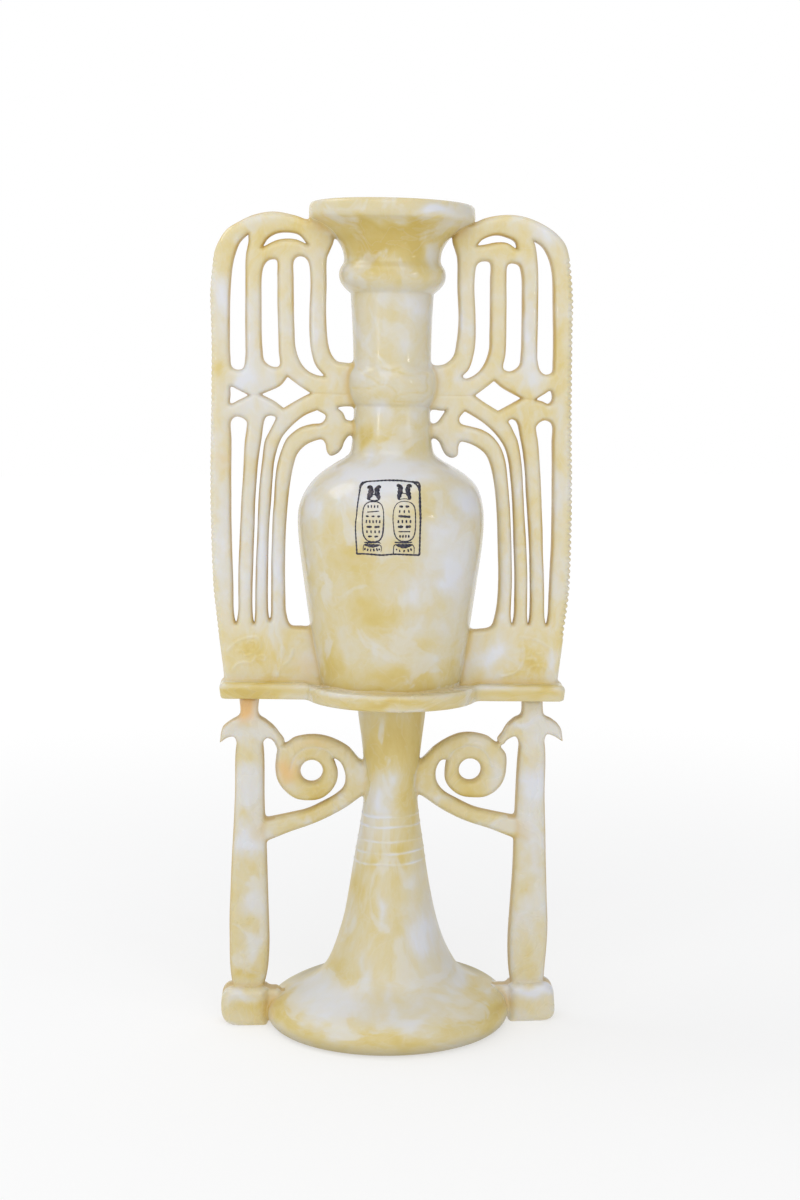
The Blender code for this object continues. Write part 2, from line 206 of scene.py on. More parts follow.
# The skin where a distance passes through zero: one point in each cell that it passes through, the
# mean of where it cuts the cell's edges, and a face across each cut edge. Three steps down the slope,
# each by the distance over the slope's length, then set each point on the skin.
def skinOf(distance, low, high, cell):
    axes = [np.arange(a, b + cell, cell) for a, b in zip(low, high)]
    value = distance(axes[0][:, None, None], axes[1][None, :, None], axes[2][None, None, :])
    inside = value < 0.0
    cells = tuple(n - 1 for n in value.shape)
    count = np.zeros(cells, np.float32)
    place = np.zeros(cells + (3,), np.float32)
    cuts = []
    for axis in range(3):
        first = tuple(slice(0, -1) if a == axis else slice(None) for a in range(3))
        second = tuple(slice(1, None) if a == axis else slice(None) for a in range(3))
        cut = inside[first] != inside[second]
        share = np.where(cut, value[first] / np.where(cut, value[first] - value[second], 1.0), 0.0)
        others = [a for a in range(3) if a != axis]
        for da in (0, 1):
            for db in (0, 1):
                window = [slice(None)] * 3
                window[others[0]] = slice(da, da + cells[others[0]])
                window[others[1]] = slice(db, db + cells[others[1]])
                here = cut[tuple(window)]
                count += here
                place[..., axis] += share[tuple(window)]
                place[..., others[0]] += here * da
                place[..., others[1]] += here * db
        cuts.append((axis, others, np.argwhere(cut), inside[first][cut]))
    used = count > 0
    number = np.full(cells, -1, int)
    number[used] = np.arange(used.sum())
    points = (np.argwhere(used) + place[used] / count[used][:, None]) * cell + [a[0] for a in axes]
    faces = []
    for axis, others, at, outward in cuts:
        keep = (at[:, others[0]] > 0) & (at[:, others[1]] > 0)
        keep &= (at[:, others[0]] < cells[others[0]]) & (at[:, others[1]] < cells[others[1]])
        at, outward = at[keep], outward[keep]
        ring = []
        for da, db in ((1, 1), (0, 1), (0, 0), (1, 0)):
            corner = at.copy()
            corner[:, others[0]] -= da
            corner[:, others[1]] -= db
            ring.append(number[tuple(corner.T)])
        quad = np.stack(ring, 1)
        flip = outward if axis == 1 else ~outward
        quad[flip] = quad[flip][:, ::-1]
        faces.append(quad)
    probe, leastSlope = 0.05, 0.2
    for turn in range(3):
        here = distance(*points.T)
        slope = np.stack([(distance(*(points + shift).T) - here) / probe for shift in np.eye(3) * probe], 1)
        step = here[:, None] * slope / np.maximum((slope ** 2).sum(1), leastSlope)[:, None]
        points = points - np.clip(step, -0.5 * cell, 0.5 * cell)
    return points, np.vstack(faces)


# The skin within a form's box, which is turned over for the left side.
def boxSkin(distance, form, side=1):
    (outLow, backLow, zLow), (outHigh, backHigh, zHigh) = form["low"], form["high"]
    left, right = sorted([side * outLow, side * outHigh])
    return skinOf(distance, (left, backLow, zLow), (right, backHigh, zHigh), form["cell"] * coarse)


# Tables of closed lines over a form's box as seen from the front, and a little past it.
def frontTable(lines, form):
    low = (form["low"][0] - 2.0, form["low"][2] - 4.0)
    high = (form["high"][0] + 4.0, form["high"][2] + 4.0)
    return flatTable(lines, low, high, form["tableStep"], 10.0)


# A turned skin: each profile point (radius, height) goes round in a circle. The first and the last
# point lie on the middle line and close it.
def turnedSkin(profile, around):
    turn = 2.0 * np.pi * np.arange(around) / around
    rings = profile[1:-1]
    points = np.stack([
        rings[:, 0, None] * np.cos(turn), rings[:, 0, None] * np.sin(turn),
        np.repeat(rings[:, 1, None], around, 1)], -1).reshape(-1, 3)
    index = np.arange(len(rings) * around).reshape(len(rings), around)
    after = np.roll(index, -1, 1)
    quads = np.stack([index[:-1], index[1:], after[1:], after[:-1]], -1).reshape(-1, 4)
    first, last = len(points), len(points) + 1
    points = np.vstack([points, [[0.0, 0.0, profile[0, 1]], [0.0, 0.0, profile[-1, 1]]]])
    caps = np.vstack([
        np.stack([np.full(around, first), index[0], after[0]], 1),
        np.stack([np.full(around, last), after[-1], index[-1]], 1)])
    return points, quads, caps


faults = {
    "askew": 0.0157,             # the vessel's level lines drop to the right by this slope
    "vaseMiddle": [(-0.8, 240), (-0.75, 315), (-0.2, 380), (0.5, 430), (0.95, 500), (1.0, 565), (0.9, 604)],
    "rimTilt": 0.010,            # the rim drops to the right by this much more
    "shoulder": (3.0, 402.0, 13.0),  # the right one is fuller: by how much, at what height, over what reach
    "shoulderFrom": (0.1, 0.9),  # and from where to where, as a share of the radius
    "stemMiddle": [
        (-3.0, -5), (-2.9, 14), (-1.7, 30), (-0.7, 45), (-1.0, 60), (-1.1, 120), (-0.9, 142), (-0.6, 166),
        (0.1, 200), (0.4, 250)],
    "standTilt": (205.0, 243.0),  # where the stand's level lines begin to drop as the vessel's do
    "postLean": 0.0125,          # the posts lean left below this height
    "postPlumbAt": 215.0,
    "domeTilt": 0.019,           # the dome of the foot drops to the left
    "domeSink": 0.8,
    "domeFades": ((10.0, 24.0), (42.0, 75.0)),
}
vaseMiddle = smoothed(faults["vaseMiddle"], 3.0, False)
stemMiddle = smoothed(faults["stemMiddle"], 3.0, False)


# Where the bent middle lines run at a height.
def vaseMiddleAt(z):
    return np.interp(z, vaseMiddle[:, 1], vaseMiddle[:, 0])


def stemMiddleAt(z):
    return np.interp(z, stemMiddle[:, 1], stemMiddle[:, 0])


# Heights as they would be without the tilt of the level lines: the height plus the slope times x.
def vesselLevel(x, z):
    return z + faults["askew"] * x


def standLevel(x, z):
    return z + faults["askew"] * x * rise(z, *faults["standTilt"])


# How far the dome of the foot is lifted at a place: a slope to the left, fading at rim and stem.
def domeLift(x, z):
    return hump(z, *faults["domeFades"]) * (faults["domeTilt"] * x - faults["domeSink"])


# Moves points out from the middle line by a lift, and by less within 8 mm of it.
def pushedOut(x, y, lift):
    share = 1.0 + lift / np.maximum(np.hypot(x, y), 8.0)
    return x * share, y * share


vaseForm = {
    "outside": [
        (55.0, 599.8), (57.2, 599.5), (58.9, 598.0), (59.4, 594.8), (59.3, 590.0), (58.3, 587.7, 1), (51.5, 584.3),
        (45.6, 580.3), (41.0, 576.0), (37.8, 571.5), (35.6, 566.5), (34.7, 561.0), (35.2, 557.8), (37.6, 553.6),
        (38.3, 549.4), (37.3, 544.6), (34.2, 540.4), (31.2, 537.6), (29.9, 536.6, 1), (29.5, 530.0), (28.6, 513.0),
        (28.2, 486.4), (28.8, 484.2), (31.3, 480.0), (32.4, 473.0), (31.4, 464.5), (29.7, 460.0), (28.4, 457.6),
        (27.4, 456.8, 1), (27.4, 454.0), (28.9, 430.0), (30.6, 422.3), (34.5, 418.6), (42.5, 413.7), (50.8, 407.8),
        (57.9, 400.8), (63.6, 392.0), (66.9, 382.0), (67.5, 372.5), (66.6, 358.0), (64.0, 336.5), (57.9, 294.0),
        (51.3, 255.0), (51.0, 250.0)],
    "inside": [
        (44.0, 264.0), (47.8, 270.0), (55.6, 316.0), (60.9, 358.5), (61.8, 375.0), (58.7, 389.2), (53.5, 397.4),
        (47.2, 403.6), (38.8, 409.4), (29.0, 415.5), (25.0, 420.5), (23.4, 430.0), (22.3, 446.0), (22.5, 524.0),
        (23.2, 540.0), (26.0, 554.0), (30.5, 568.0), (36.0, 577.0), (42.5, 584.0), (49.0, 591.0), (52.0, 597.0),
        (53.2, 599.3)],
    "floorHeight": 262.0,
    "footHeight": 250.0,
    "around": 208,
    "rowStep": 1.35,
    "innerRowStep": 4.0,
    "swells": (0.22, 21.0),
    "rimTiltFrom": (560.0, 590.0),
    "handFrom": 2.0,             # what lies this far outside the hollow's line is hand-finished
    "window": ((0.0, 236.0), (80.0, 614.0), 0.5, 14.0),  # the table's low and high corner, step and reach
}
vaseLine = smoothed(vaseForm["outside"], 1.0, False)
vaseTop = vaseForm["outside"][0][1]
vaseTable = flatTable(
    [np.vstack([vaseLine, [[0.0, vaseForm["footHeight"]], [0.0, vaseTop]]])], *vaseForm["window"])


# How far the right shoulder stands out: a bell curve over the height, growing towards the right.
def shoulderSwell(x, radius, z):
    amount, height, reach = faults["shoulder"]
    return amount * bell(z - height, reach) * rise(x / np.maximum(radius, 1.0), *faults["shoulderFrom"])


# Distance to the vase's outside at points of the finished object.
def vaseGap(x, y, z):
    level = vesselLevel(x, z)
    across = x - vaseMiddleAt(level)
    radius = np.hypot(across, y)
    return readTable(vaseTable, radius - shoulderSwell(across, radius, level), level)


# From the even turned shape to the real one: swells, the full shoulder and the collar's carving
# lift the outside, then the middle line bends and the level lines tilt.
def handFinished(x, y, z, outside, extra):
    lift = swells(vaseForm["swells"], x, y, z)
    lift = (lift + shoulderSwell(x, np.hypot(x, y), z) - collarCarving(x, y, z)) * outside + extra
    x, y = pushedOut(x, y, lift)
    x = x + vaseMiddleAt(z)
    tilt = faults["askew"] + faults["rimTilt"] * rise(z, *vaseForm["rimTiltFrom"])
    return np.column_stack([x, y, z - tilt * x])


# The vase is turned from one profile: up the inside from its floor, over the lip, down the outside.
def makeVase(form):
    outer = smoothed(form["outside"], form["rowStep"] * coarse, False)
    inner = smoothed(form["inside"], form["innerRowStep"], False)
    profile = np.vstack([[[0.0, form["floorHeight"]]], inner, outer, [[0.0, form["footHeight"]]]])
    points, quads, caps = turnedSkin(profile, round(form["around"] / coarse))
    x, y, z = points.T
    outside = np.hypot(x, y) > np.interp(z, inner[:, 1], inner[:, 0]) + form["handFrom"]
    return handFinished(x, y, z, outside, 0.0), quads, caps


collarForm = {
    "lines": [
        [(-24.0, 483.4), (-19.0, 478.8), (-13.9, 475.7), (-9.8, 472.6), (-3.7, 471.3), (0.0, 469.0), (2.6, 465.6),
         (0.6, 461.4)],
        [(-10.2, 486.5), (-7.6, 483.8), (-3.5, 482.1), (0.6, 481.6), (4.3, 483.6), (7.4, 485.5)],
        [(4.2, 481.1), (8.3, 479.2), (15.2, 478.5), (21.7, 480.0), (25.8, 479.3)],
        [(25.6, 479.3), (24.1, 474.1), (25.3, 469.4), (23.9, 466.8), (16.3, 466.1), (8.3, 465.4), (3.6, 464.0),
         (0.6, 461.2)],
        [(-28.0, 469.4), (-20.0, 468.7), (-11.9, 471.0), (-7.8, 472.1)],
        [(0.6, 460.6), (5.8, 459.6), (13.8, 459.0), (22.0, 459.4)]],
    "depth": 0.42,
    "width": 0.85,
    "heights": ((457.0, 460.0), (483.0, 486.5)),
    "faces": (4.0, 14.0),        # front and back only: it fades towards the sides over these depths
    "window": ((-34.0, 454.0), (34.0, 490.0), 0.4, 8.0),
}
collarTable = lineTable(collarForm["lines"], *collarForm["window"])


# How deep the carving goes at a place: a bell curve of the distance to the nearest line, times the
# depth, on front and back.
def collarCarving(x, y, z):
    form = collarForm
    depth = form["depth"] * bell(readTable(collarTable, x, z), form["width"])
    return depth * hump(z, *form["heights"]) * rise(np.abs(y), *form["faces"])


boardForm = {
    "under": 243.6,
    "top": 255.3,
    "discDrop": 1.4,             # how much lower the round part lies, and about its edge from where to where
    "discEdge": (-6.0, 1.5),
    "undercut": 0.13,            # how far its edge leans in towards the underside
    "halfLength": 126.7,
    "middle": 0.85,
    "halfDepth": 19.0,
    "corner": 7.0,
    "discRadius": 65.0,
    "rounding": 1.6,
    "topRounding": 4.6,
    "roundingFrom": (-0.6, 0.9),  # heights about the board's middle between which the one becomes the other
    "meet": 5.0,
    "outlineSwell": (0.25, 15.0),  # height and length of the swells
    "faceSwell": (0.15, 19.0),
    "cell": 1.15,
    "fillet": 3.0,
    "filletEnd": 1.0,
    "low": (-132.0, -70.0, 238.0),
    "high": (132.0, 70.0, 264.0),
}
boardMiddle = 0.5 * (boardForm["top"] + boardForm["under"])
boardHalf = 0.5 * (boardForm["top"] - boardForm["under"])


# Distance to the board: a long rounded plate joined softly to a round one, its edge leaning in
# downwards, the round part lower and the upper edge rounder than the lower.
def boardGap(x, y, z):
    form = boardForm
    level = vesselLevel(x, z) - boardMiddle
    a = np.abs(x - form["middle"]) - form["halfLength"] + form["corner"]
    b = np.abs(y) - form["halfDepth"] + form["corner"]
    plate = np.hypot(np.maximum(a, 0.0), np.maximum(b, 0.0)) + np.minimum(np.maximum(a, b), 0.0) - form["corner"]
    disc = np.hypot(x, y) - form["discRadius"]
    flat = softMin(plate, disc, form["meet"]) + swells(form["outlineSwell"], x, y, 0.0)
    flat = flat + form["undercut"] * (boardHalf - level)
    level = level + form["discDrop"] * (1.0 - rise(disc, *form["discEdge"]))
    level = level + swells(form["faceSwell"], x, y, 0.0, 2.0)
    rounding = form["rounding"] + (form["topRounding"] - form["rounding"]) * rise(level, *form["roundingFrom"])
    return roundedSlab(flat, level, boardHalf, rounding)


# The board's skin rises in a fillet against the vase, and ends where the fillet does.
def boardSkinGap(x, y, z):
    board, vase = boardGap(x, y, z), vaseGap(x, y, z) + tuck
    return np.maximum(softMin(board, vase, boardForm["fillet"]), board - boardForm["fillet"] - boardForm["filletEnd"])


# Outlines seen from the front: (distance out, height), a 1 marks a corner. 1 is the right wing, -1
# the left.
wingOutlines = {
    1: {
        "edge": [
            (121.6, 250, 1), (123.1, 262), (126.7, 291.9), (130.6, 323.9), (131.7, 356), (131.9, 400), (131.1, 460),
            (131.1, 505), (131.4, 535.1), (129.8, 554.2), (128.1, 564.8), (125.2, 573.8), (118.6, 581.2),
            (109, 587.5), (97.6, 592.2), (84, 593.9), (68, 591.3), (58.5, 587.6)],
        "inside": [
            (48, 588.5, 1), (38, 583, 1), (44.9, 581), (44, 577), (44.3, 573.4), (46, 568), (47.3, 563.5),
            (47.8, 557.9), (47.9, 540), (48.9, 519), (47.3, 502.4), (45, 492.9), (39.4, 487.5), (34.3, 486.1),
            (22, 486, 1), (22, 455.8, 1), (36.9, 453.6), (39.2, 453.9), (36.8, 449.5), (33.6, 445.4), (30.5, 443.9),
            (22, 443.6, 1), (22, 434.6, 1), (29.5, 434.4), (34.6, 431.2), (37.2, 425.9), (39.7, 421.8), (44, 419.7),
            (48, 421.5), (48.8, 428.2), (50.4, 431.2), (54.7, 430.8), (61.7, 427.9), (68.5, 422.4), (72.5, 413.5),
            (76.3, 391.1), (77.9, 360), (78.2, 320), (76, 304.3), (73.1, 296.6), (65, 294.5), (50, 294.4, 1),
            (44, 258), (44, 250, 1)],
        "openings": [
            [(102.2, 576, 1), (108.5, 571.8), (113.4, 563.3), (116, 553.2), (116.7, 535), (117.2, 490),
             (116.3, 482.2), (111.6, 480.8), (108.2, 483), (105.9, 490.4), (105.7, 500), (106, 545), (105.3, 562.1),
             (103.7, 572.2)],
            [(61.7, 571.7, 1), (67.9, 572.7), (75.2, 574.2), (83, 574), (90.5, 569.5, 1), (88.9, 574.8),
             (82.4, 578.1), (75, 579.3), (66.1, 576.2)],
            [(93.9, 551.7), (91.7, 558.3), (86.5, 559.6), (83.8, 557.9), (83, 547.9), (83.2, 528), (82.7, 495),
             (81.3, 484.4), (86, 482.6), (92.4, 486.6), (93.9, 496), (94.4, 530)],
            [(61.4, 557.3), (63.2, 559.5), (65.8, 560.7), (70.9, 560), (71.3, 546), (71.2, 511), (70.7, 496.8),
             (66.4, 485.9), (60.9, 479.9), (53.6, 476.9), (51.5, 478.5, 1), (56.3, 483.9), (59.5, 494.1),
             (60.9, 504.9), (60.8, 522), (60, 544.9)],
            [(74.5, 475.7, 1), (67.2, 469.7), (60.7, 464.8, 1), (66.4, 460.8), (77.6, 454, 1), (84.5, 457.9),
             (94.2, 463.3, 1), (80.4, 470.7)],
            [(104.8, 462.6, 1), (109.9, 461.3), (113.9, 459.7), (116.7, 463), (115.5, 468.9), (110.6, 466.3)],
            [(116.4, 445.3), (110.8, 447.5), (105.5, 443.2), (105.6, 438.6), (106.5, 433.4), (108.4, 411.6),
             (109.6, 389.8), (110.6, 367.9), (111, 350), (112, 323.8), (112.4, 303.5), (113.7, 298.5), (115, 303.5),
             (115.9, 323.8), (116.7, 345), (117.2, 367.9), (117.1, 430)],
            [(90.7, 446.7), (87, 448.1), (84.9, 446.1), (86, 444.7), (89.4, 438.2), (91.7, 433.2), (93.3, 426),
             (95.3, 411.4), (96.2, 396.9), (97, 382.3), (98.4, 360.4), (99.4, 338.4), (99.6, 316.3), (99.6, 304),
             (100.5, 298.6), (101.5, 304), (101.8, 316.3), (101.6, 338.4), (100.7, 360.4), (99.2, 382.3),
             (98.2, 396.9), (97.4, 411.4), (95.7, 426), (94.2, 433.2)],
            [(53.3, 453.3, 1), (49.5, 448.1), (50.6, 444.7), (57.5, 442.6), (65.8, 440.4), (73.2, 435.9),
             (79.4, 428), (82.8, 418.5), (84.8, 404), (86, 389.5), (86.9, 374.9), (88, 345.6), (88.3, 330.9),
             (88, 316.1), (87.7, 303.5), (88.7, 298.5), (89.8, 303.5), (90.2, 316.1), (90.5, 330.9), (90.1, 345.6),
             (89, 374.9), (88.3, 389.5), (87, 404), (85.2, 418.5), (82.4, 427.6), (76.4, 436.6), (68.9, 443.7),
             (61.3, 448.8)]]},
    -1: {
        "edge": [
            (121.6, 250, 1), (122.5, 262.1), (126.1, 292), (129.4, 324), (130.4, 356), (130.8, 400), (129.4, 460),
            (128.9, 505), (129.3, 535), (127.6, 553.9), (125.9, 564.2), (122.4, 572.4), (117.1, 579.9), (108, 585.8),
            (97.2, 590.6), (84, 592.9), (68.2, 590.6), (58.5, 587.6)],
        "inside": [
            (48, 588.5, 1), (36, 580.5, 1), (40.9, 577.4), (41.3, 572), (43.9, 565.5), (45.6, 561.2), (46.2, 540),
            (46.6, 519), (45.5, 502.7), (43.3, 493.7), (39, 488.1), (34.1, 487.1), (22, 486, 1), (22, 455.8, 1),
            (37.7, 454.9), (38.3, 454.2), (34.7, 451.1), (32.4, 446.4), (29.9, 445.5), (22, 443.6, 1),
            (22, 434.6, 1), (29.8, 435), (33.7, 430.6), (35.9, 425.2), (39.4, 421.5), (44, 420), (46.3, 422.5),
            (47.7, 428.8), (50.1, 431.5), (54.7, 430.7), (61.4, 427.5), (67.3, 421.5), (70.6, 412.9), (74.3, 390.9),
            (76.7, 360), (77.2, 320), (76.4, 304.1), (73.4, 296.3), (64.9, 295.5), (50, 294.4, 1), (44, 258),
            (44, 250, 1)],
        "openings": [
            [(101.8, 576.9, 1), (107.5, 571), (111.1, 562.5), (113.4, 552.8), (115, 535), (115.4, 490.1),
             (114.6, 483.2), (111.6, 481), (106.6, 481.8), (104.7, 490.2), (104.6, 500), (104.2, 545),
             (103.8, 561.9), (101.8, 571.9)],
            [(59.4, 570, 1), (67.7, 573.7), (75.2, 574.1), (82.6, 572.6), (91.9, 567.8, 1), (87.8, 573.9),
             (82.1, 577.5), (75.1, 578.6), (65.7, 576.9)],
            [(91.9, 551.3), (89.6, 556.8), (86.5, 559.1), (82, 559), (81.5, 548), (81.5, 528), (80.7, 495),
             (80.6, 483.8), (85.9, 483.5), (91, 487.5), (92.4, 496.1), (92.8, 530)],
            [(59.2, 558.1), (61.9, 561.3), (66, 561.9), (69.3, 559.1), (69.7, 546), (69.3, 511.1), (68.6, 497.2),
             (65, 486.7), (60.1, 480.9), (53.5, 477.8), (48.1, 477.1, 1), (54.5, 484.9), (57.5, 494.6), (58.6, 505),
             (58.7, 522), (57.7, 545)],
            [(74.5, 476.1, 1), (66.6, 470.3), (58.2, 464.8, 1), (66.3, 460.6), (77.6, 453.9, 1), (84.1, 458.7),
             (93.4, 463.3, 1), (79.8, 469.8)],
            [(102.7, 462.6, 1), (109, 459.5), (115.7, 456.5), (115.6, 463), (115.3, 468.5), (110.5, 466.4)],
            [(115.1, 444.4), (110.8, 447.2), (104.4, 443.9), (104.4, 438.5), (105.5, 430.4), (107.5, 400),
             (108.6, 387), (109.7, 365.2), (110.8, 343.3), (111.3, 321.4), (111.6, 305), (113.3, 297.7),
             (114.7, 305), (114.9, 321.4), (115.4, 343.3), (115.8, 365.1), (115.7, 387), (115.3, 430)],
            [(90.4, 446.5), (87, 448.1), (83.4, 446.8), (84.4, 444), (88.2, 436.4), (91, 430.6), (93.2, 416.1),
             (94.9, 401.6), (96.2, 387.1), (97.1, 365.3), (98.2, 343.4), (98.9, 321.5), (99.2, 305), (100.1, 297.6),
             (101.1, 305), (101.1, 321.5), (100.3, 343.4), (99.3, 365.3), (98.4, 387.1), (97.4, 401.6), (96, 416.1),
             (93.8, 430.5)],
            [(53.4, 452.6, 1), (47.3, 448.6), (49.8, 443.8), (57.4, 442.5), (65.6, 440), (72.4, 435.1),
             (76.2, 430.8), (81.7, 416.3), (83.9, 401.8), (84.9, 387.3), (86, 372.7), (87.2, 343.6), (87.4, 328.9),
             (87.5, 314.3), (87.7, 305), (88.6, 299.6), (89.7, 305), (90, 314.3), (89.7, 328.9), (89.4, 343.6),
             (88.3, 372.7), (87, 387.3), (86, 401.8), (84.3, 416.2), (79.8, 430.7), (76.1, 436.4), (68.9, 443.7),
             (61.5, 449.2)]]},
}
wingForm = {
    "halfDepth": 5.7,
    "crown": 1.6,                # how much deeper the middle of a rib is than its edges
    "crownReach": 3.0,
    "rounding": 3.6,
    "fillet": 6.0,
    "topFillet": {1: 2.5, -1: 6.0},  # where the wing meets the cup
    "topFilletFrom": (560.0, 574.0),
    "filletEnd": 0.3,            # how far past its fillet the skin runs on over the vase and board
    "sunk": 2.5,                 # how deep in the vase and board it is closed
    "outlineSwell": (0.12, 9.0),  # height and length of the swells
    "faceSwell": (0.22, 12.0),
    "ripple": (0.07, 4.6),
    "bow": (0.3, 30.0),
    "seams": [[(26.0, 464.8), (60.5, 464.8)], [(94.0, 463.3), (104.6, 462.6)]],  # across its middle
    "seamDepth": 0.55,
    "seamWidth": 0.8,
    "seamNear": (464.0, 8.0),    # their middle height, and how far from it they reach
    "seamWindow": ((20.0, 452.0), (112.0, 476.0), 0.5, 6.0),
    "edgeStep": 0.5,
    "openingStep": 0.8,
    "tableStep": 0.4,
    "scallopPitch": 4.25,
    "scallopHeights": ((284.0, 296.0), (558.0, 566.0)),
    "scallopOut": 118.5,
    "scallopPower": 1.3,
    "scallopDepth": {1: 1.8, -1: 0.65},
    "cell": 1.0,
    "low": (17.5, -14.5, 237.5),
    "high": (136.0, 14.5, 600.0),
}


# The wing's outlines. Its outer edge has a row of small scallops: it draws in by the depth wherever
# a sine along the height comes to nought, elsewhere by the depth times a power of 1 less the sine.
def wingLines(side):
    form, lines = wingForm, wingOutlines[side]
    outline = smoothed(lines["edge"] + lines["inside"], form["edgeStep"])
    out, height = outline.T
    depth = form["scallopDepth"][side] * hump(height, *form["scallopHeights"])
    wave = np.abs(np.sin(np.pi * height / form["scallopPitch"]))
    outline[:, 0] = np.where(out > form["scallopOut"], out - depth * (1.0 - wave) ** form["scallopPower"], out)
    return [outline] + [smoothed(opening, form["openingStep"]) for opening in lines["openings"]]


# Low raised lines on the solid foot of each wing, as (out, height).
panelForm = {
    "lines": {
        1: [
            [(94.6, 289.6), (99.3, 289.3), (104.5, 288.4), (108.7, 286.5), (112.9, 284.0), (116.7, 280.7),
             (117.5, 277.4)],
            [(100.2, 263.1), (100.6, 266.0), (102.7, 268.1), (106.0, 268.8), (109.8, 268.6), (112.6, 267.2),
             (114.3, 264.7)],
            [(99.6, 273.7), (102.2, 274.0), (105.3, 273.3)],
            [(106.9, 277.8), (109.2, 277.4)],
            [(95.6, 284.8), (96.6, 280.1), (96.4, 274.4), (95.2, 269.7), (92.0, 264.9), (87.3, 262.1),
             (80.7, 260.6)]],
        -1: [
            [(119.4, 277.6), (114.7, 282.8), (107.8, 286.5), (103.1, 287.7), (98.5, 287.8), (96.0, 285.3),
             (95.4, 282.5), (96.3, 279.2), (98.6, 277.1), (102.3, 275.4), (106.5, 274.4)],
            [(105.7, 283.3), (103.1, 285.2), (99.9, 284.8), (98.1, 282.9), (98.6, 280.1), (101.4, 277.8)],
            [(112.5, 277.7), (109.7, 278.4), (106.5, 276.8)],
            [(115.4, 264.0), (114.0, 266.4), (110.7, 268.8), (106.5, 269.5), (103.3, 268.8), (100.5, 271.2),
             (98.6, 274.0)],
            [(96.8, 273.3), (94.9, 274.5), (92.6, 274.1), (91.9, 272.2), (94.0, 271.3), (96.5, 271.9)],
            [(79.6, 280.8), (80.5, 277.0), (80.1, 272.8), (80.8, 268.6), (81.8, 264.3), (83.4, 259.6)],
            [(71.7, 279.0), (73.1, 274.7), (74.5, 271.4), (77.3, 269.1), (80.1, 266.2)]],
    },
    "top": 298.0,
    "height": 0.55,
    "width": 0.9,
    "window": ((60.0, 246.0), (130.0, 300.0), 0.5, 8.0),
}
panelTables = {side: lineTable(lines, *panelForm["window"]) for side, lines in panelForm["lines"].items()}


# Distance to the raised lines, which grows with the height above the panel.
def panelFar(side, out, level):
    return readTable(panelTables[side], out, level) + np.maximum(level - panelForm["top"], 0.0)


seamTable = lineTable(wingForm["seams"], *wingForm["seamWindow"])


# How near a place is to the seams across the wings: a bell curve of the distance, near their height.
def seamShare(out, level):
    far, (middle, reach) = readTable(seamTable, out, level), wingForm["seamNear"]
    return bell(far, wingForm["seamWidth"]) * (np.abs(level - middle) < reach)


# A wing: a slab with a rounded outline. Its half depth is the edge's, plus the crown that grows inwards
# from the edge as 1 less e to the power of the distance over its reach, plus the raised lines in front,
# less the seams. It flows into the vase and the board with fillets.
def makeWing(side):
    form = wingForm
    outlines = frontTable(wingLines(side), form)

    def slab(x, y, z):
        out, level = side * x, vesselLevel(x, z)
        raised = panelForm["height"] * bell(panelFar(side, out, level), panelForm["width"])
        flat = readTable(outlines, out, level) + swells(form["outlineSwell"], x, 0.0, z, 2.0 * side)
        crown = form["crown"] * (1.0 - np.exp(np.minimum(flat, 0.0) / form["crownReach"]))
        half = form["halfDepth"] + crown + raised * (y < 0.0) - form["seamDepth"] * seamShare(out, level)
        half = half + swells(form["faceSwell"], x, 0.0, z, side) + swells(form["ripple"], x, 0.0, z, 3.0 * side)
        return roundedSlab(flat, y + swells(form["bow"], x, 0.0, z, 4.0 * side), half, form["rounding"])

    def skin(x, y, z):
        wing = slab(x, y, z)
        body = np.minimum(vaseGap(x, y, z), boardGap(x, y, z))
        reach = form["fillet"] + (form["topFillet"][side] - form["fillet"]) * rise(z, *form["topFilletFrom"])
        joined = softMin(wing, body + tuck, reach)
        return np.maximum(np.maximum(joined, wing - form["fillet"] - form["filletEnd"]), -form["sunk"] - body)

    points, quads = boxSkin(skin, form, side)
    return points, quads, slab


stemForm = {
    "profile": [
        (26.0, 243.7, 1), (25.2, 236.0), (23.9, 225.0), (22.2, 212.0), (20.6, 197.0), (19.9, 182.0), (20.1, 167.0),
        (21.6, 154.0), (24.0, 138.0), (26.8, 120.0), (30.0, 100.5), (33.6, 82.0), (37.2, 69.0), (41.6, 57.0),
        (45.6, 48.5), (49.5, 42.0), (54.5, 36.8), (62.0, 32.4), (71.0, 28.6), (79.5, 24.6), (85.5, 20.0),
        (88.7, 14.5), (89.9, 9.0), (88.8, 4.2), (85.5, 1.2), (79.0, 0.0, 1)],
    "coreRadius": 12.0,
    "soleRadius": 40.0,
    "around": 200,
    "rowStep": 1.5,
    "bands": [158.0, 150.6, 140.0, 131.5, 123.7],
    "bandRise": 0.02,
    "bandHeight": 0.32,
    "bandWidth": 0.85,
    "bandStretch": (118.0, 163.0),
    "bandWaver": (0.25, 0.21, 0.13),  # how far the bands waver, how fast across and up
    "window": ((0.0, -12.0), (104.0, 256.0), 0.5, 14.0),
    "swells": (0.25, 19.0),
    "swellFrom": (0.0, 12.0),
    "liftUpTo": (225.0, 240.0),
    "tiltFrom": (225.0, 243.0),
}
stemTop = stemForm["profile"][0][1]
stemLine = smoothed([p[:2] for p in stemForm["profile"]], 1.0, False)
stemTable = flatTable([np.vstack([[[0.0, stemTop]], stemLine, [[0.0, 0.0]]])], *stemForm["window"])


# Distance to stem and foot at points of the finished object.
def stemGap(x, y, z):
    level = z - domeLift(x, z)
    return readTable(stemTable, np.hypot(x - stemMiddleAt(level), y), level)


# How near a height is to one of the bands, a bell curve of the distance to the nearest one. They
# rise to the right and waver.
def bandShare(x, z):
    amount, across, up = stemForm["bandWaver"]
    uneven = amount * np.sin(across * x + up * z) + stemForm["bandRise"] * x
    far = np.min([np.abs(z - band - uneven) for band in stemForm["bands"]], 0)
    return bell(far, stemForm["bandWidth"])


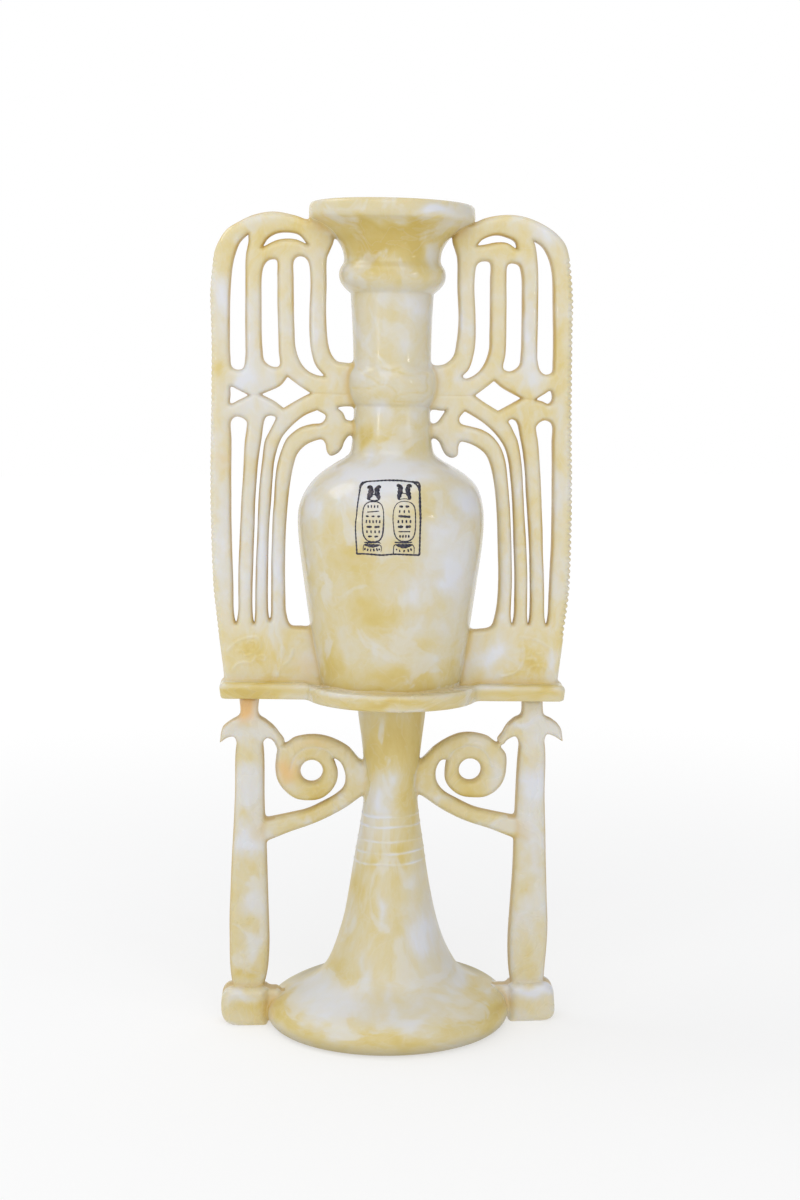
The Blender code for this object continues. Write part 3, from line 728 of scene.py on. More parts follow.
# The stem and foot are turned from the profile, with closer rows across the bands; then come the
# bands, the swells, the bent middle line and the tilt of the dome, whose lifted height is found by
# putting it into its own formula six times.
def makeStem(form):
    line = smoothed([p[:2] for p in form["profile"]], form["rowStep"] / 4.0, False)
    low, high = form["bandStretch"]
    close = (line[:, 1] > low) & (line[:, 1] < high)
    line = line[(np.arange(len(line)) % round(4 * coarse) == 0) | (close & (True))]
    profile = np.vstack([
        [[0.0, stemTop], [form["coreRadius"], stemTop]], line, [[form["soleRadius"], 0.0], [0.0, 0.0]]])
    points, quads, caps = turnedSkin(profile, round(form["around"] / coarse))
    x, y, z = points.T
    lift = swells(form["swells"], x, y, z, 5.0) * rise(z, *form["swellFrom"])
    lift = lift + form["bandHeight"] * bandShare(x, z)
    x, y = pushedOut(x, y, lift * (1.0 - rise(z, *form["liftUpTo"])))
    x = x + stemMiddleAt(z)
    level = z
    for turn in range(6):
        z = level + domeLift(x, z)
    return np.column_stack([x, y, z - faults["askew"] * x * rise(z, *form["tiltFrom"])]), quads, caps


# Outlines in the same way: the post, the drooping crescent with its peg, the scroll and its arm.
sideOutlines = {
    1: {
        "post": [
            (115.6, 22, 1), (117, 40), (118.4, 70), (117, 97), (115.6, 132), (114.2, 170), (113.4, 208),
            (110, 219, 1), (97.5, 219, 1), (94.6, 207.8), (92.8, 168), (91.8, 118), (90.4, 90), (89, 62), (90.1, 38),
            (92.4, 22, 1)],
        "crescent": [
            (109, 205), (112.8, 211.7), (114.9, 215.7), (119.7, 214.4), (126.7, 209.8, 1), (124.5, 221.4),
            (119.1, 226.9), (112.8, 231), (111.2, 243.7, 1), (96.6, 243.7, 1), (95.7, 231), (90.6, 227.8),
            (85.3, 222.5), (81.9, 216.3), (78.8, 211.2), (82.4, 208.6), (85.2, 212.2), (91.4, 214.2), (93.5, 211.4),
            (98, 205)],
        "scroll": [
            (104, 151), (91.9, 153.9), (73.3, 157.9), (61.3, 161.1), (50.4, 166.4), (40, 172.4), (35.4, 177.6),
            (33.2, 183.8), (33.7, 190.7), (37.2, 196.4), (40.9, 196.4), (40.6, 194.8), (39.9, 188), (40.5, 180.7),
            (45.2, 174.1), (52, 169.7), (60.3, 168.2), (70.6, 168.9), (79.4, 174.5), (84, 182.4), (85.4, 191.6),
            (84.9, 200.3), (81, 206.9), (88, 214.5, 1), (82.4, 213.7), (79, 208.7), (71, 214), (59.4, 216.9),
            (50.1, 216.2), (40.9, 212.4), (31.1, 205.9), (24.7, 199.3), (14, 188), (14, 178), (28, 166.5),
            (40.8, 158), (55.3, 150.9), (73.7, 144.6), (92, 137.6), (104, 136)],
        "block": [
            (90, -1, 1), (110, -0.8), (118, 0), (122, 1.8), (124, 5), (124.3, 10), (123.6, 17), (123, 23.2),
            (120.6, 26.4), (117.4, 28.2), (110, 28.6), (94.5, 28.4), (90.5, 26.5, 1)],
    },
    -1: {
        "post": [
            (114.6, 22, 1), (117.4, 41), (118.2, 70), (117.9, 97), (116.5, 132), (114.6, 170), (113.7, 208),
            (110, 219, 1), (97.5, 219, 1), (93.8, 208), (92.9, 168), (90.6, 118.1), (89.7, 90), (88.7, 62),
            (90.1, 39), (94.2, 22, 1)],
        "crescent": [
            (109, 205), (113.2, 211.4), (115.3, 214.9), (119.8, 214.7), (125.8, 210.9, 1), (123.8, 220.9),
            (118, 225.6), (111.2, 230.1), (111.2, 243.7, 1), (96.6, 243.7, 1), (97.1, 230.2), (91.7, 226.2),
            (86.1, 221.7), (81.9, 216.4), (78.8, 211.2), (82.5, 208), (85, 212.5), (91.3, 214), (93.9, 211.7),
            (98, 205)],
        "scroll": [
            (104, 151), (91.9, 153.9), (73.3, 157.7), (61.1, 160.6), (50, 165.8), (39.6, 171.8), (34.6, 177.1),
            (33.4, 183.8), (34.7, 190.3), (37.6, 195.8), (42.3, 198.4), (40.9, 194.7), (39.1, 188), (40.1, 180.6),
            (44.5, 173.5), (51.5, 168.5), (60.3, 167.2), (70.5, 168.9), (78.6, 175.2), (83.4, 182.6), (85.1, 191.6),
            (84.5, 200.2), (83.9, 206.4), (88, 214.5, 1), (82.4, 213.6), (79, 209.2), (70.9, 213.9), (59.4, 215.9),
            (50.3, 215.2), (41, 212.2), (30.8, 206.2), (24.7, 199.3), (14, 188), (14, 178), (27.4, 165.6),
            (40.4, 157.4), (55.1, 150.4), (73.5, 143.9), (91.8, 137.2), (104, 136)],
        "block": [
            (90, -1, 1), (110, -1.2), (116.5, 0), (120.9, 2.6), (123.4, 6.8), (124.2, 12), (124.1, 18),
            (122.8, 23.6), (119.6, 27), (114.5, 28.4), (104, 28.7), (94.5, 28.2), (90.5, 26, 1)],
    },
}
sideForm = {
    "eye": (58.4, 189.2, 8.2),   # distance out, height, radius
    "eyePoints": 60,
    "lineStep": 0.8,
    "tableStep": 0.5,
    "spiral": [
        (42.1, 198.2), (45.2, 203.2), (51.0, 206.6), (58.0, 207.6), (66.0, 205.4), (71.6, 199.4), (74.0, 192.0)],
    "spiralDepth": 0.9,
    "spiralWidth": 1.1,
    "spiralWindow": ((30.0, 180.0), (90.0, 216.0), 0.5, 6.0),
    "postHalfDepth": 8.5,
    "postRounding": 6.0,
    "postCrown": 0.12,           # how much deeper the post grows for each mm in from its rounded edge
    "crescentHalfDepth": 7.5,
    "crescentRounding": 3.6,
    "scrollHalfDepth": 6.2,
    "scrollRounding": 4.3,
    "crown": 1.3,
    "crownReach": 3.0,
    "outlineSwell": (0.2, 13.0),
    "blockHalfDepth": 15.0,
    "blockRounding": 7.0,
    "blockFillet": 2.5,
    "web": (16.0, 17.0, 22.6),
    "webOut": 88.0,
    "webLow": 3.0,
    "webRounding": 4.0,
    "webFillet": 6.0,
    "crescentFillet": 3.0,
    "fillet": 5.0,
    "filletEnd": 1.0,
    "sunk": 3.0,
    "cell": 0.95,
    "low": (8.0, -18.0, -3.0),
    "high": (136.0, 18.0, 247.0),
}
spiralTable = lineTable([sideForm["spiral"]], *sideForm["spiralWindow"])


# One side: post, crescent with its peg, scroll with its arm and eye, and block with the web to the foot.
# Each is a rounded slab over its outline, the scroll with a crown and a groove along its spiral.
def makeSide(side):
    form, lines = sideForm, sideOutlines[side]
    eyeOut, eyeHeight, eyeRadius = form["eye"]
    turn = np.linspace(0.0, 2.0 * np.pi, form["eyePoints"], endpoint=False)
    eye = np.column_stack([eyeOut + eyeRadius * np.cos(turn), eyeHeight + eyeRadius * np.sin(turn)])
    holes = {"scroll": [eye]}
    tables = {
        name: frontTable([smoothed(line, form["lineStep"])] + holes.get(name, []), form)
        for name, line in lines.items()}

    def parts(x, y, z):
        lean = faults["postLean"] * np.minimum(z - faults["postPlumbAt"], 0.0)
        out, level = side * (x - lean), standLevel(x, z)
        wave = swells(form["outlineSwell"], x, 0.0, z, 3.0 * side)
        cut = form["spiralDepth"] * bell(readTable(spiralTable, out, level), form["spiralWidth"])
        post, crescent, scroll = (readTable(tables[name], out, level) for name in ("post", "crescent", "scroll"))
        postHalf = form["postHalfDepth"] - form["postCrown"] * np.minimum(post + form["postRounding"], 0.0)
        crown = form["crown"] * (1.0 - np.exp(np.minimum(scroll, 0.0) / form["crownReach"]))
        post = roundedSlab(post + wave, y, postHalf, form["postRounding"])
        crescent = roundedSlab(crescent, y, form["crescentHalfDepth"] + wave, form["crescentRounding"])
        scroll = roundedSlab(scroll, y, form["scrollHalfDepth"] + crown + wave - cut, form["scrollRounding"])
        block = readTable(tables["block"], out, z) + wave
        block = roundedSlab(block, y, form["blockHalfDepth"], form["blockRounding"])
        webUp = z - form["webLow"] - 0.5 * form["web"][2]
        web = roundedBox(out - form["webOut"], y, webUp, form["web"], form["webRounding"])
        return softMin(post, crescent, form["crescentFillet"]), scroll, softMin(block, web, form["webFillet"])

    def whole(x, y, z):
        post, scroll, block = parts(x, y, z)
        return softMin(softMin(post, scroll, form["fillet"]), block, form["blockFillet"])

    def skin(x, y, z):
        piece, stem = whole(x, y, z), stemGap(x, y, z)
        joined = softMin(piece, stem + tuck, form["fillet"])
        shell = np.maximum(np.maximum(joined, piece - form["fillet"] - form["filletEnd"]), -form["sunk"] - stem)
        return np.maximum(np.maximum(shell, standLevel(x, z) - stemTop), -z)

    points, quads = boxSkin(skin, form, side)
    return points, quads, parts


# The printed panel in the middle of the body: strokes of ink as (x, height, half its width) seen
# from the front.
printForm = {
    "rings": [
        [(-14.8, 391.3, 0.47), (-11.7, 390.9, 0.43), (-9.4, 389.2, 0.32), (-8.3, 386.4, 0.32), (-7.9, 381.8, 0.32),
         (-8, 376.4, 0.47), (-8.3, 371.3, 0.55), (-9, 367.4, 0.51), (-10.8, 364.6, 0.51), (-13, 363.5, 0.63),
         (-15.7, 363.3, 0.63), (-18.4, 363.9, 0.47), (-20.5, 365.6, 0.43), (-21.9, 368.4, 0.47), (-22.5, 373.1, 0.4),
         (-22.6, 378.5, 0.32), (-22.2, 383.9, 0.4), (-21.5, 387.4, 0.32), (-19.8, 389.8, 0.4), (-17.5, 391, 0.43)],
        [(6.8, 391.4, 0.24), (9.7, 391, 0.28), (12.1, 389.7, 0.4), (13.6, 387.4, 0.43), (14.2, 383.6, 0.4),
         (14.3, 378.5, 0.4), (14.2, 373.1, 0.4), (13.5, 368.4, 0.43), (12.1, 365.7, 0.43), (9.6, 364.1, 0.47),
         (6.7, 363.7, 0.51), (3.7, 364.2, 0.43), (1.2, 366, 0.4), (-0.3, 369, 0.4), (-1, 373.7, 0.32),
         (-1.4, 378.7, 0.32), (-1.2, 383.3, 0.28), (-0.3, 387.1, 0.28), (1.5, 389.8, 0.28), (3.9, 391.1, 0.24)]],
    "strokes": [
        [(-22.9, 403.3, 0.79), (-20.6, 404.2, 0.55), (-18, 404.7, 0.47), (-12.1, 405.1, 0.47), (-5.9, 405.5, 0.55),
         (-1.1, 405.5, 0.63), (4.3, 405.3, 0.63), (10.6, 404.6, 0.47), (15.4, 404, 0.71), (17.6, 403.5, 0.87)],
        [(17.2, 403.9, 0.75), (17.5, 400.9, 0.87), (17.5, 397.2, 0.63), (17.5, 391.5, 0.87), (17.6, 385.4, 0.79),
         (17.8, 379.6, 0.71), (17.6, 373, 0.59), (17.4, 365.5, 0.63), (17.3, 359.6, 0.59), (17.2, 353.7, 0.71)],
        [(17.4, 353.9, 0.63), (9.7, 354.3, 0.59), (-0.1, 354.8, 0.55), (-9.5, 354.2, 0.59), (-15.7, 354.6, 0.63),
         (-22.3, 354.9, 0.55), (-26.5, 354.6, 0.63)],
        [(-26.3, 354.3, 0.63), (-26.6, 359.6, 0.47), (-27, 365.5, 0.47), (-27.3, 371.4, 0.43), (-27.2, 377.2, 0.43),
         (-26.6, 381.5, 0.36), (-26.2, 386.1, 0.43), (-25.4, 391.5, 0.47), (-24.4, 397.2, 0.55),
         (-23.5, 401.7, 0.75), (-22.6, 403.6, 0.63)],
        [(-23.3, 400.6, 0.16), (-22.5, 402.2, 0.4), (-21.1, 403.4, 0.32), (-19.5, 404, 0.16)],
        [(13.4, 403.6, 0.2), (15.2, 402.6, 0.55), (16.5, 400.9, 0.55), (17, 397.9, 0.16)],
        [(-18.6, 399.8, 0.67), (-18, 400.7, 1.26), (-16.9, 400.5, 1.62), (-16.3, 399.2, 1.82), (-16.5, 397.5, 1.82),
         (-17.1, 395.8, 1.82), (-17.8, 394.3, 1.54), (-18.3, 393.1, 1.15), (-18.7, 392.3, 0.67)],
        [(-9.7, 400.3, 0.63), (-10.2, 401, 1.15), (-11.3, 400.6, 1.58), (-12.1, 399.2, 1.74), (-12.3, 397.5, 1.74),
         (-11.9, 395.9, 1.74), (-11.3, 394.5, 1.46), (-11, 393.2, 0.95), (-10.9, 392.4, 0.59)],
        [(-18.3, 392.7, 0.32), (-16.6, 392.2, 0.4), (-14.6, 391.8, 0.47), (-12.5, 392.1, 0.43),
         (-10.8, 392.4, 0.32)],
        [(-15.8, 395.7, 0.4), (-14.5, 396, 0.32), (-12.9, 395.8, 0.4)],
        [(1.7, 401.3, 0.67), (2.6, 401.9, 1.19), (3.8, 401.4, 1.62), (4.1, 399.9, 1.78), (3.9, 397.9, 1.78),
         (3.4, 396, 1.62), (2.9, 394.3, 1.3), (2.6, 392.5, 0.79)],
        [(12, 400.8, 0.63), (11.2, 401.8, 1.15), (10.1, 401.4, 1.54), (9.4, 399.9, 1.7), (9.3, 397.9, 1.74),
         (9.8, 395.9, 1.58), (10.3, 394.3, 1.26), (10.8, 392.5, 0.79)],
        [(2.6, 392.6, 0.36), (4.7, 393, 0.24), (7.1, 393.2, 0.24), (9, 392.9, 0.28), (11, 392.5, 0.36)],
        [(5.2, 397, 0.32), (7.4, 396.7, 0.32), (9.2, 397, 0.32)],
        [(-21.4, 363, 0.4), (-18.4, 362.8, 0.55), (-14.5, 363, 0.55), (-11.4, 363.1, 0.43), (-9.8, 362.3, 0.24)],
        [(-0.4, 363.2, 0.43), (3, 363, 0.55), (6.9, 362.9, 0.59), (10, 363, 0.47), (12, 363.1, 0.4)],
        [(-22, 356.7, 0.2), (-21.9, 359.7, 0.24), (-21.1, 361.4, 0.32), (-18.4, 362, 0.24)],
        [(-9.8, 356.4, 0.2), (-9.4, 358.7, 0.24), (-10, 360.8, 0.32), (-11.1, 361.4, 0.24)],
        [(-1.2, 355, 0.36), (-1, 358.4, 0.32), (-0.7, 360.7, 0.32), (0.3, 361.6, 0.32)],
        [(13.2, 354.6, 0.24), (13.4, 357.4, 0.24), (13.2, 359.9, 0.32), (12, 361.4, 0.32)],
        [(-21.2, 361.2, 0.4), (-18.8, 360.9, 0.91), (-16.1, 360.6, 1.3), (-13.4, 360.8, 1.03), (-10.3, 361.4, 0.4)],
        [(0.1, 361.6, 0.4), (2.6, 361, 1.11), (6.1, 360.4, 1.66), (9.2, 360.8, 1.3), (12.5, 361.4, 0.4)],
        [(-20.5, 359.3, 0.4), (-21.1, 357.5, 0.63)],
        [(-18.7, 358.8, 0.4), (-19.1, 356.8, 0.63)],
        [(-16.7, 358.8, 0.36), (-17, 356.6, 0.55)],
        [(-14.9, 358.8, 0.51), (-14.5, 356.6, 0.63)],
        [(-12.9, 359.1, 0.51), (-12.1, 357, 0.67)],
        [(-11.1, 359, 0.51), (-10.7, 357.5, 0.55)],
        [(0.9, 358.8, 0.4), (1.3, 357.5, 0.51)],
        [(3, 358.1, 0.4), (3.4, 356.3, 0.55)],
        [(6.5, 357.9, 0.51), (6.1, 356.1, 0.55)],
        [(9, 358.4, 0.55), (9.5, 356.3, 0.63)],
        [(10.9, 358.9, 0.55), (11.5, 356.9, 0.55)]],
    "rows": [                    # in the ovals: middle, height, count, overall width, length, half width, upright
        (-15.2, 387.9, 4, 6.6, 2.1, 0.45, 1), (-15.2, 384.4, 1, 0.0, 8.4, 0.35, 0),
        (-15.2, 381.2, 3, 7.8, 2.2, 0.60, 0), (-15.2, 377.6, 5, 9.2, 2.3, 0.50, 1),
        (-15.2, 373.9, 2, 5.4, 3.8, 0.75, 0), (-15.2, 370.5, 4, 8.4, 2.1, 0.50, 1),
        (-15.2, 367.2, 2, 4.4, 2.8, 0.65, 0),
        (6.5, 387.9, 2, 4.4, 2.8, 0.75, 0), (6.5, 384.5, 3, 6.4, 2.1, 0.50, 1),
        (6.5, 381.1, 1, 0.0, 8.6, 0.80, 0), (6.5, 377.6, 4, 8.4, 2.3, 0.60, 1),
        (6.5, 374.0, 2, 5.4, 3.8, 0.90, 0), (6.5, 370.6, 1, 0.0, 8.4, 0.40, 0),
        (6.5, 367.3, 4, 6.0, 2.1, 0.60, 1)],
    "rowLean": 0.10,
    "step": 0.35,
    "above": 0.07,
    "layer": 0.004,              # each of five layers lies this much higher, so that strokes may cross
    "below": -0.03,
    "leastEnd": 0.04,
    "waver": (0.12, 2.3),        # how much a stroke's width wavers, and how fast along it
    "under": 300.0,              # the part of the body that the print lies on
    "over": 412.0,
}
bodyLine = vaseLine[(vaseLine[:, 1] > printForm["under"]) & (vaseLine[:, 1] < printForm["over"])][::-1]


# A stroke is a flat band about its smoothed line: its width runs evenly between the given ones and
# its open ends are round. Four points go round each cross-section, above and below the body's skin.
def inkBand(stroke, closed, layer):
    form, given = printForm, np.array(stroke)
    line = smoothed(given[:, :2].tolist(), form["step"] * (1.0), closed)
    if closed:
        line, given = np.vstack([line, line[:1]]), np.vstack([given, given[:1]])
    lengths = [
        np.concatenate([[0.0], np.cumsum(np.hypot(*np.diff(path[:, :2], axis=0).T))]) for path in (line, given)]
    half = np.interp(lengths[0] / lengths[0][-1], lengths[1] / lengths[1][-1], given[:, 2])
    way = np.gradient(line, axis=0)
    if closed:
        way[0] = way[-1] = line[1] - line[-2]
    else:
        inward = np.minimum(lengths[0], lengths[0][-1] - lengths[0]) / half
        half = half * np.sqrt(np.clip(1.0 - (1.0 - np.minimum(inward, 1.0)) ** 2, form["leastEnd"], 1.0))
    amount, pace = form["waver"]
    half = half * (1.0 + amount * np.sin(pace * lengths[0] + 3.0 * layer))
    across = np.column_stack([-way[:, 1], way[:, 0]]) / np.hypot(*way.T)[:, None] * half[:, None]
    left, right = line + across, line - across
    above, below = form["above"] + form["layer"] * layer, form["below"]
    ring = []
    for edge, extra in ((right, above), (left, above), (left, below), (right, below)):
        level = vesselLevel(*edge.T)
        x = edge[:, 0] - vaseMiddleAt(level)
        radius = np.interp(level, bodyLine[:, 1], bodyLine[:, 0])
        ring.append(handFinished(x, -np.sqrt(radius ** 2 - x ** 2), level, 1.0, extra))
    points = np.stack(ring, 1).reshape(-1, 3)
    index = np.arange(len(points)).reshape(-1, 4)
    after = np.roll(index, -1, 1)
    quads = np.stack([index[:-1], index[1:], after[1:], after[:-1]], -1).reshape(-1, 4)
    ends = np.vstack([index[:1], index[-1:, ::-1]])
    return points, np.vstack([quads, ends])


# A row of plain short strokes: spaced evenly about the middle of the row, each a little aslant.
def strokeRow(middle, height, count, width, length, half, upright):
    strokes = []
    for number in range(count):
        x = middle + width * (number / max(count - 1, 1) - 0.5) * (count > 1)
        lean = printForm["rowLean"] * math.sin(5.0 * number + height)
        out, up = (lean, 1.0) if upright else (1.0, lean)
        strokes.append([(x + s * out * length, height + s * up * length, half) for s in (-0.5, 0.0, 0.5)])
    return strokes


pieces, wingGaps, sideParts = {}, {}, {}


# Makes a piece and keeps it by its name.
def addPiece(name, points, quads, caps=None):
    pieces[name] = newPiece(name, points, quads, caps)
    print(name + ":", len(points), "points")


addPiece("vaseSkin", *makeVase(vaseForm))
for name, side in (("wingLeft", -1), ("wingRight", 1)):
    points, quads, wingGaps[side] = makeWing(side)
    addPiece(name, points, quads)
addPiece("boardSkin", *boxSkin(boardSkinGap, boardForm))
addPiece("stemAndFoot", *makeStem(stemForm))
for name, side in (("sideLeft", -1), ("sideRight", 1)):
    points, quads, sideParts[side] = makeSide(side)
    addPiece(name, points, quads)
bands, bandFaces, count = [], [], 0
rings, layers = printForm["rings"], 5
rowStrokes = [stroke for row in printForm["rows"] for stroke in strokeRow(*row)]
for number, stroke in enumerate(rings + printForm["strokes"] + rowStrokes):
    points, quads = inkBand(stroke, number < len(rings), number % layers)
    bands.append(points)
    bandFaces.append(quads + count)
    count += len(points)
printedPanel = newPiece("printedPanel", np.vstack(bands), np.vstack(bandFaces))
print("printedPanel:", count, "points")


# Soft patches of the marbling as (x, z, reach across, reach up, strength): above 0 pale, below 0 honey.
# The honey patches under the cup's lip, in the groove below it and at the top of the stem are partly painted shade.
cloudSpots = {
    "vessel": [
        (0, 576, 42, 10, -1.2), (-15, 564, 10, 8, -1.2), (20, 564, 8, 7, -0.9), (0, 551, 38, 8, -0.7),
        (36, 594, 16, 7, 0.4), (0, 474, 30, 9, 0.45), (0, 410, 46, 12, 1.3), (-22, 392, 26, 9, 0.5),
        (46, 350, 17, 44, 0.5), (-6, 300, 30, 30, -0.35), (-30, 340, 30, 26, -0.3), (0, 264, 50, 9, -0.9),
        (-102, 274, 24, 15, -0.2), (-100, 250, 26, 7, -1.3), (-85, 586, 36, 10, -0.4), (-9, 327, 13, 11, 0.7),
        (-20, 433, 4, 6, -1.1), (17, 453, 9, 9, 0.6), (2, 432, 14, 6, -0.4), (14, 560, 7, 6, -0.5),
        (31, 558, 6, 8, 0.5), (-15, 562, 5, 6, -0.4), (0, 248, 62, 7, -1.1), (-100, 340, 26, 42, 0.8),
        (-116, 500, 18, 60, 0.4), (-60, 530, 14, 40, 0.5), (-84, 572, 24, 10, -0.4), (92, 570, 28, 14, -0.2),
        (100, 340, 24, 40, 0.2), (27, 591, 11, 4, 1.6), (0, 590, 6, 4, 0.4), (-29, 590, 9, 4, 0.3),
        (15, 529, 7, 9, 0.5), (8, 495, 7, 7, 0.45), (28, 481, 9, 4, 0.4), (-8, 455, 7, 9, 0.8),
        (-24, 411, 16, 6, 0.5), (-56, 386, 7, 11, 0.9), (-62, 404, 6, 12, 0.7), (54, 390, 11, 9, 1.3),
        (31, 370, 9, 7, 0.7), (41, 342, 6, 9, 0.5), (14, 326, 7, 11, 0.9), (31, 333, 8, 4, 0.6),
        (19, 299, 8, 7, 0.7), (-2, 290, 8, 7, -0.4), (-10, 283, 4, 10, 0.5), (32, 269, 7, 10, 0.8),
        (13, 570, 7, 9, -0.9), (-10, 583, 36, 3, -0.5), (-16, 317, 20, 13, -0.8), (-50, 370, 10, 15, -0.6),
        (-33, 349, 18, 13, -0.4), (-46, 276, 8, 16, -1.1), (2, 519, 9, 10, -0.3), (19, 293, 10, 9, -0.5),
        (21, 392, 12, 7, -0.3), (-6, 359, 23, 4, -0.4), (52, 268, 5, 12, 0.4), (-10, 465, 10, 4, -0.4),
        (-122, 539, 6, 10, 0.8), (-106, 474, 8, 7, 0.9), (-69, 471, 9, 4, 0.5), (-98, 405, 4, 15, 0.6),
        (-94, 356, 4, 22, 0.5), (-79, 331, 4, 29, 0.6), (-62, 277, 9, 13, 0.6), (-123, 346, 4, 26, 0.3),
        (-103, 277, 15, 10, -0.6), (-127, 447, 4, 15, -0.3), (-65, 587, 10, 6, -0.4), (-92, 559, 6, 15, -0.3),
        (-110, 396, 4, 12, -0.4), (112, 580, 8, 9, 1.0), (98, 514, 5, 11, 0.9), (53, 514, 5, 8, 0.9),
        (101, 476, 10, 7, 0.6), (52, 479, 9, 4, 0.6), (72, 273, 14, 11, 1.4), (94, 403, 4, 15, 0.5),
        (119, 388, 4, 18, 0.5), (79, 300, 7, 6, 0.6), (102, 268, 15, 12, -1.1), (120, 272, 4, 10, 1.0),
        (121, 497, 5, 18, -0.5), (94, 345, 6, 26, -0.5), (123, 410, 5, 12, -0.6), (99, 491, 13, 15, 0.9),
        (-119, 479, 9, 8, -0.9), (-82, 589, 22, 5, 0.5), (-126, 425, 4, 28, 0.4), (-33, 549, 5, 9, 0.8),
        (78, 341, 4, 22, -0.7), (124, 283, 6, 10, -0.5), (81, 567, 15, 7, -0.3), (64, 439, 12, 7, -0.3),
        (-67, 246, 22, 3, 0.4), (95, 249, 30, 5, -0.6), (25, 250, 18, 3, 0.4), (111, 249, 7, 4, -0.8),
        (-4, 248, 15, 3, -0.5), (-114, 253, 12, 3, -0.3)],
    "stand": [
        (0, 216, 26, 24, -1.2), (-106, 150, 14, 60, 0.45), (106, 150, 14, 60, 0.5), (-62, 190, 30, 26, -0.4),
        (60, 190, 30, 26, -0.6), (0, 112, 34, 30, -0.2), (30, 84, 14, 24, 0.3), (-52, 28, 30, 12, 1.0),
        (0, 10, 60, 7, -0.6), (-55, 12, 26, 8, -0.6), (-10, 223, 4, 13, 0.6), (-1, 188, 4, 7, 0.8),
        (-8, 170, 5, 9, 0.9), (-8, 93, 4, 16, 0.9), (20, 71, 12, 13, 0.9), (13, 107, 6, 10, 0.6),
        (-21, 48, 4, 10, 0.5), (-74, 36, 13, 7, 0.9), (61, 40, 13, 6, 0.8), (-43, 13, 12, 6, 0.6),
        (15, 24, 15, 4, 0.5), (64, 25, 10, 3, 0.5), (-3, 39, 4, 9, 0.5), (-13, 201, 7, 18, -0.6),
        (10, 175, 6, 15, -0.6), (-28, 104, 9, 22, -0.6), (-1, 134, 13, 7, -0.5), (-42, 48, 10, 9, -0.4),
        (-39, 58, 7, 9, 0.3), (-15, 126, 8, 8, -0.6), (20, 122, 6, 20, 0.6), (56, 27, 18, 6, -1.0),
        (-84, 40, 9, 8, 0.6), (-82, 21, 10, 10, -0.7), (7, 14, 16, 4, -0.6), (70, 13, 12, 7, -1.0),
        (-108, 192, 4, 8, 0.4), (-107, 143, 9, 9, 0.9), (-100, 90, 7, 10, 0.9), (-104, 62, 7, 7, 0.8),
        (-115, 22, 12, 4, 0.9), (-107, 159, 7, 6, -0.6), (-106, 121, 10, 7, -0.5), (-106, 79, 7, 4, -0.5),
        (-108, 40, 9, 7, -0.8), (-107, 13, 15, 6, -0.5), (-109, 200, 8, 12, -0.9), (-109, 74, 9, 16, 0.5),
        (104, 175, 9, 12, 0.9), (104, 129, 10, 18, 0.7), (114, 24, 10, 5, 1.2), (95, 27, 15, 4, 0.8),
        (110, 87, 7, 10, 0.5), (103, 203, 9, 9, -0.9), (101, 49, 7, 12, -0.7), (98, 97, 7, 9, -0.4),
        (99, 35, 9, 6, -0.5), (99, 14, 16, 6, -0.6), (-103, 226, 9, 5, -0.6), (98, 225, 10, 3, 0.8),
        (96, 217, 10, 4, -0.4), (-73, 180, 9, 6, 0.6), (-70, 153, 10, 4, 0.6), (-52, 171, 9, 6, -0.7),
        (-31, 168, 6, 12, -0.5), (78, 184, 4, 10, 0.7), (39, 168, 10, 4, 0.9), (75, 150, 10, 4, 0.4),
        (52, 170, 12, 4, -0.9), (25, 190, 7, 12, -0.4)],
}

# Patches of peach stain in the same way.
peachSpots = {
    "vessel": [(-50, 582, 6, 4, 0.4), (49, 582, 5, 4, 0.4), (-62, 269, 6, 10, 0.35), (-118, 418, 7, 6, 0.3)],
    "stand": [
        (-105, 240, 9, 9, 1.9), (-77, 191, 9, 8, 1.3), (-56, 208, 15, 4, 0.4), (-90, 17, 4, 9, 0.6),
        (86, 16, 6, 7, 0.45)],
}


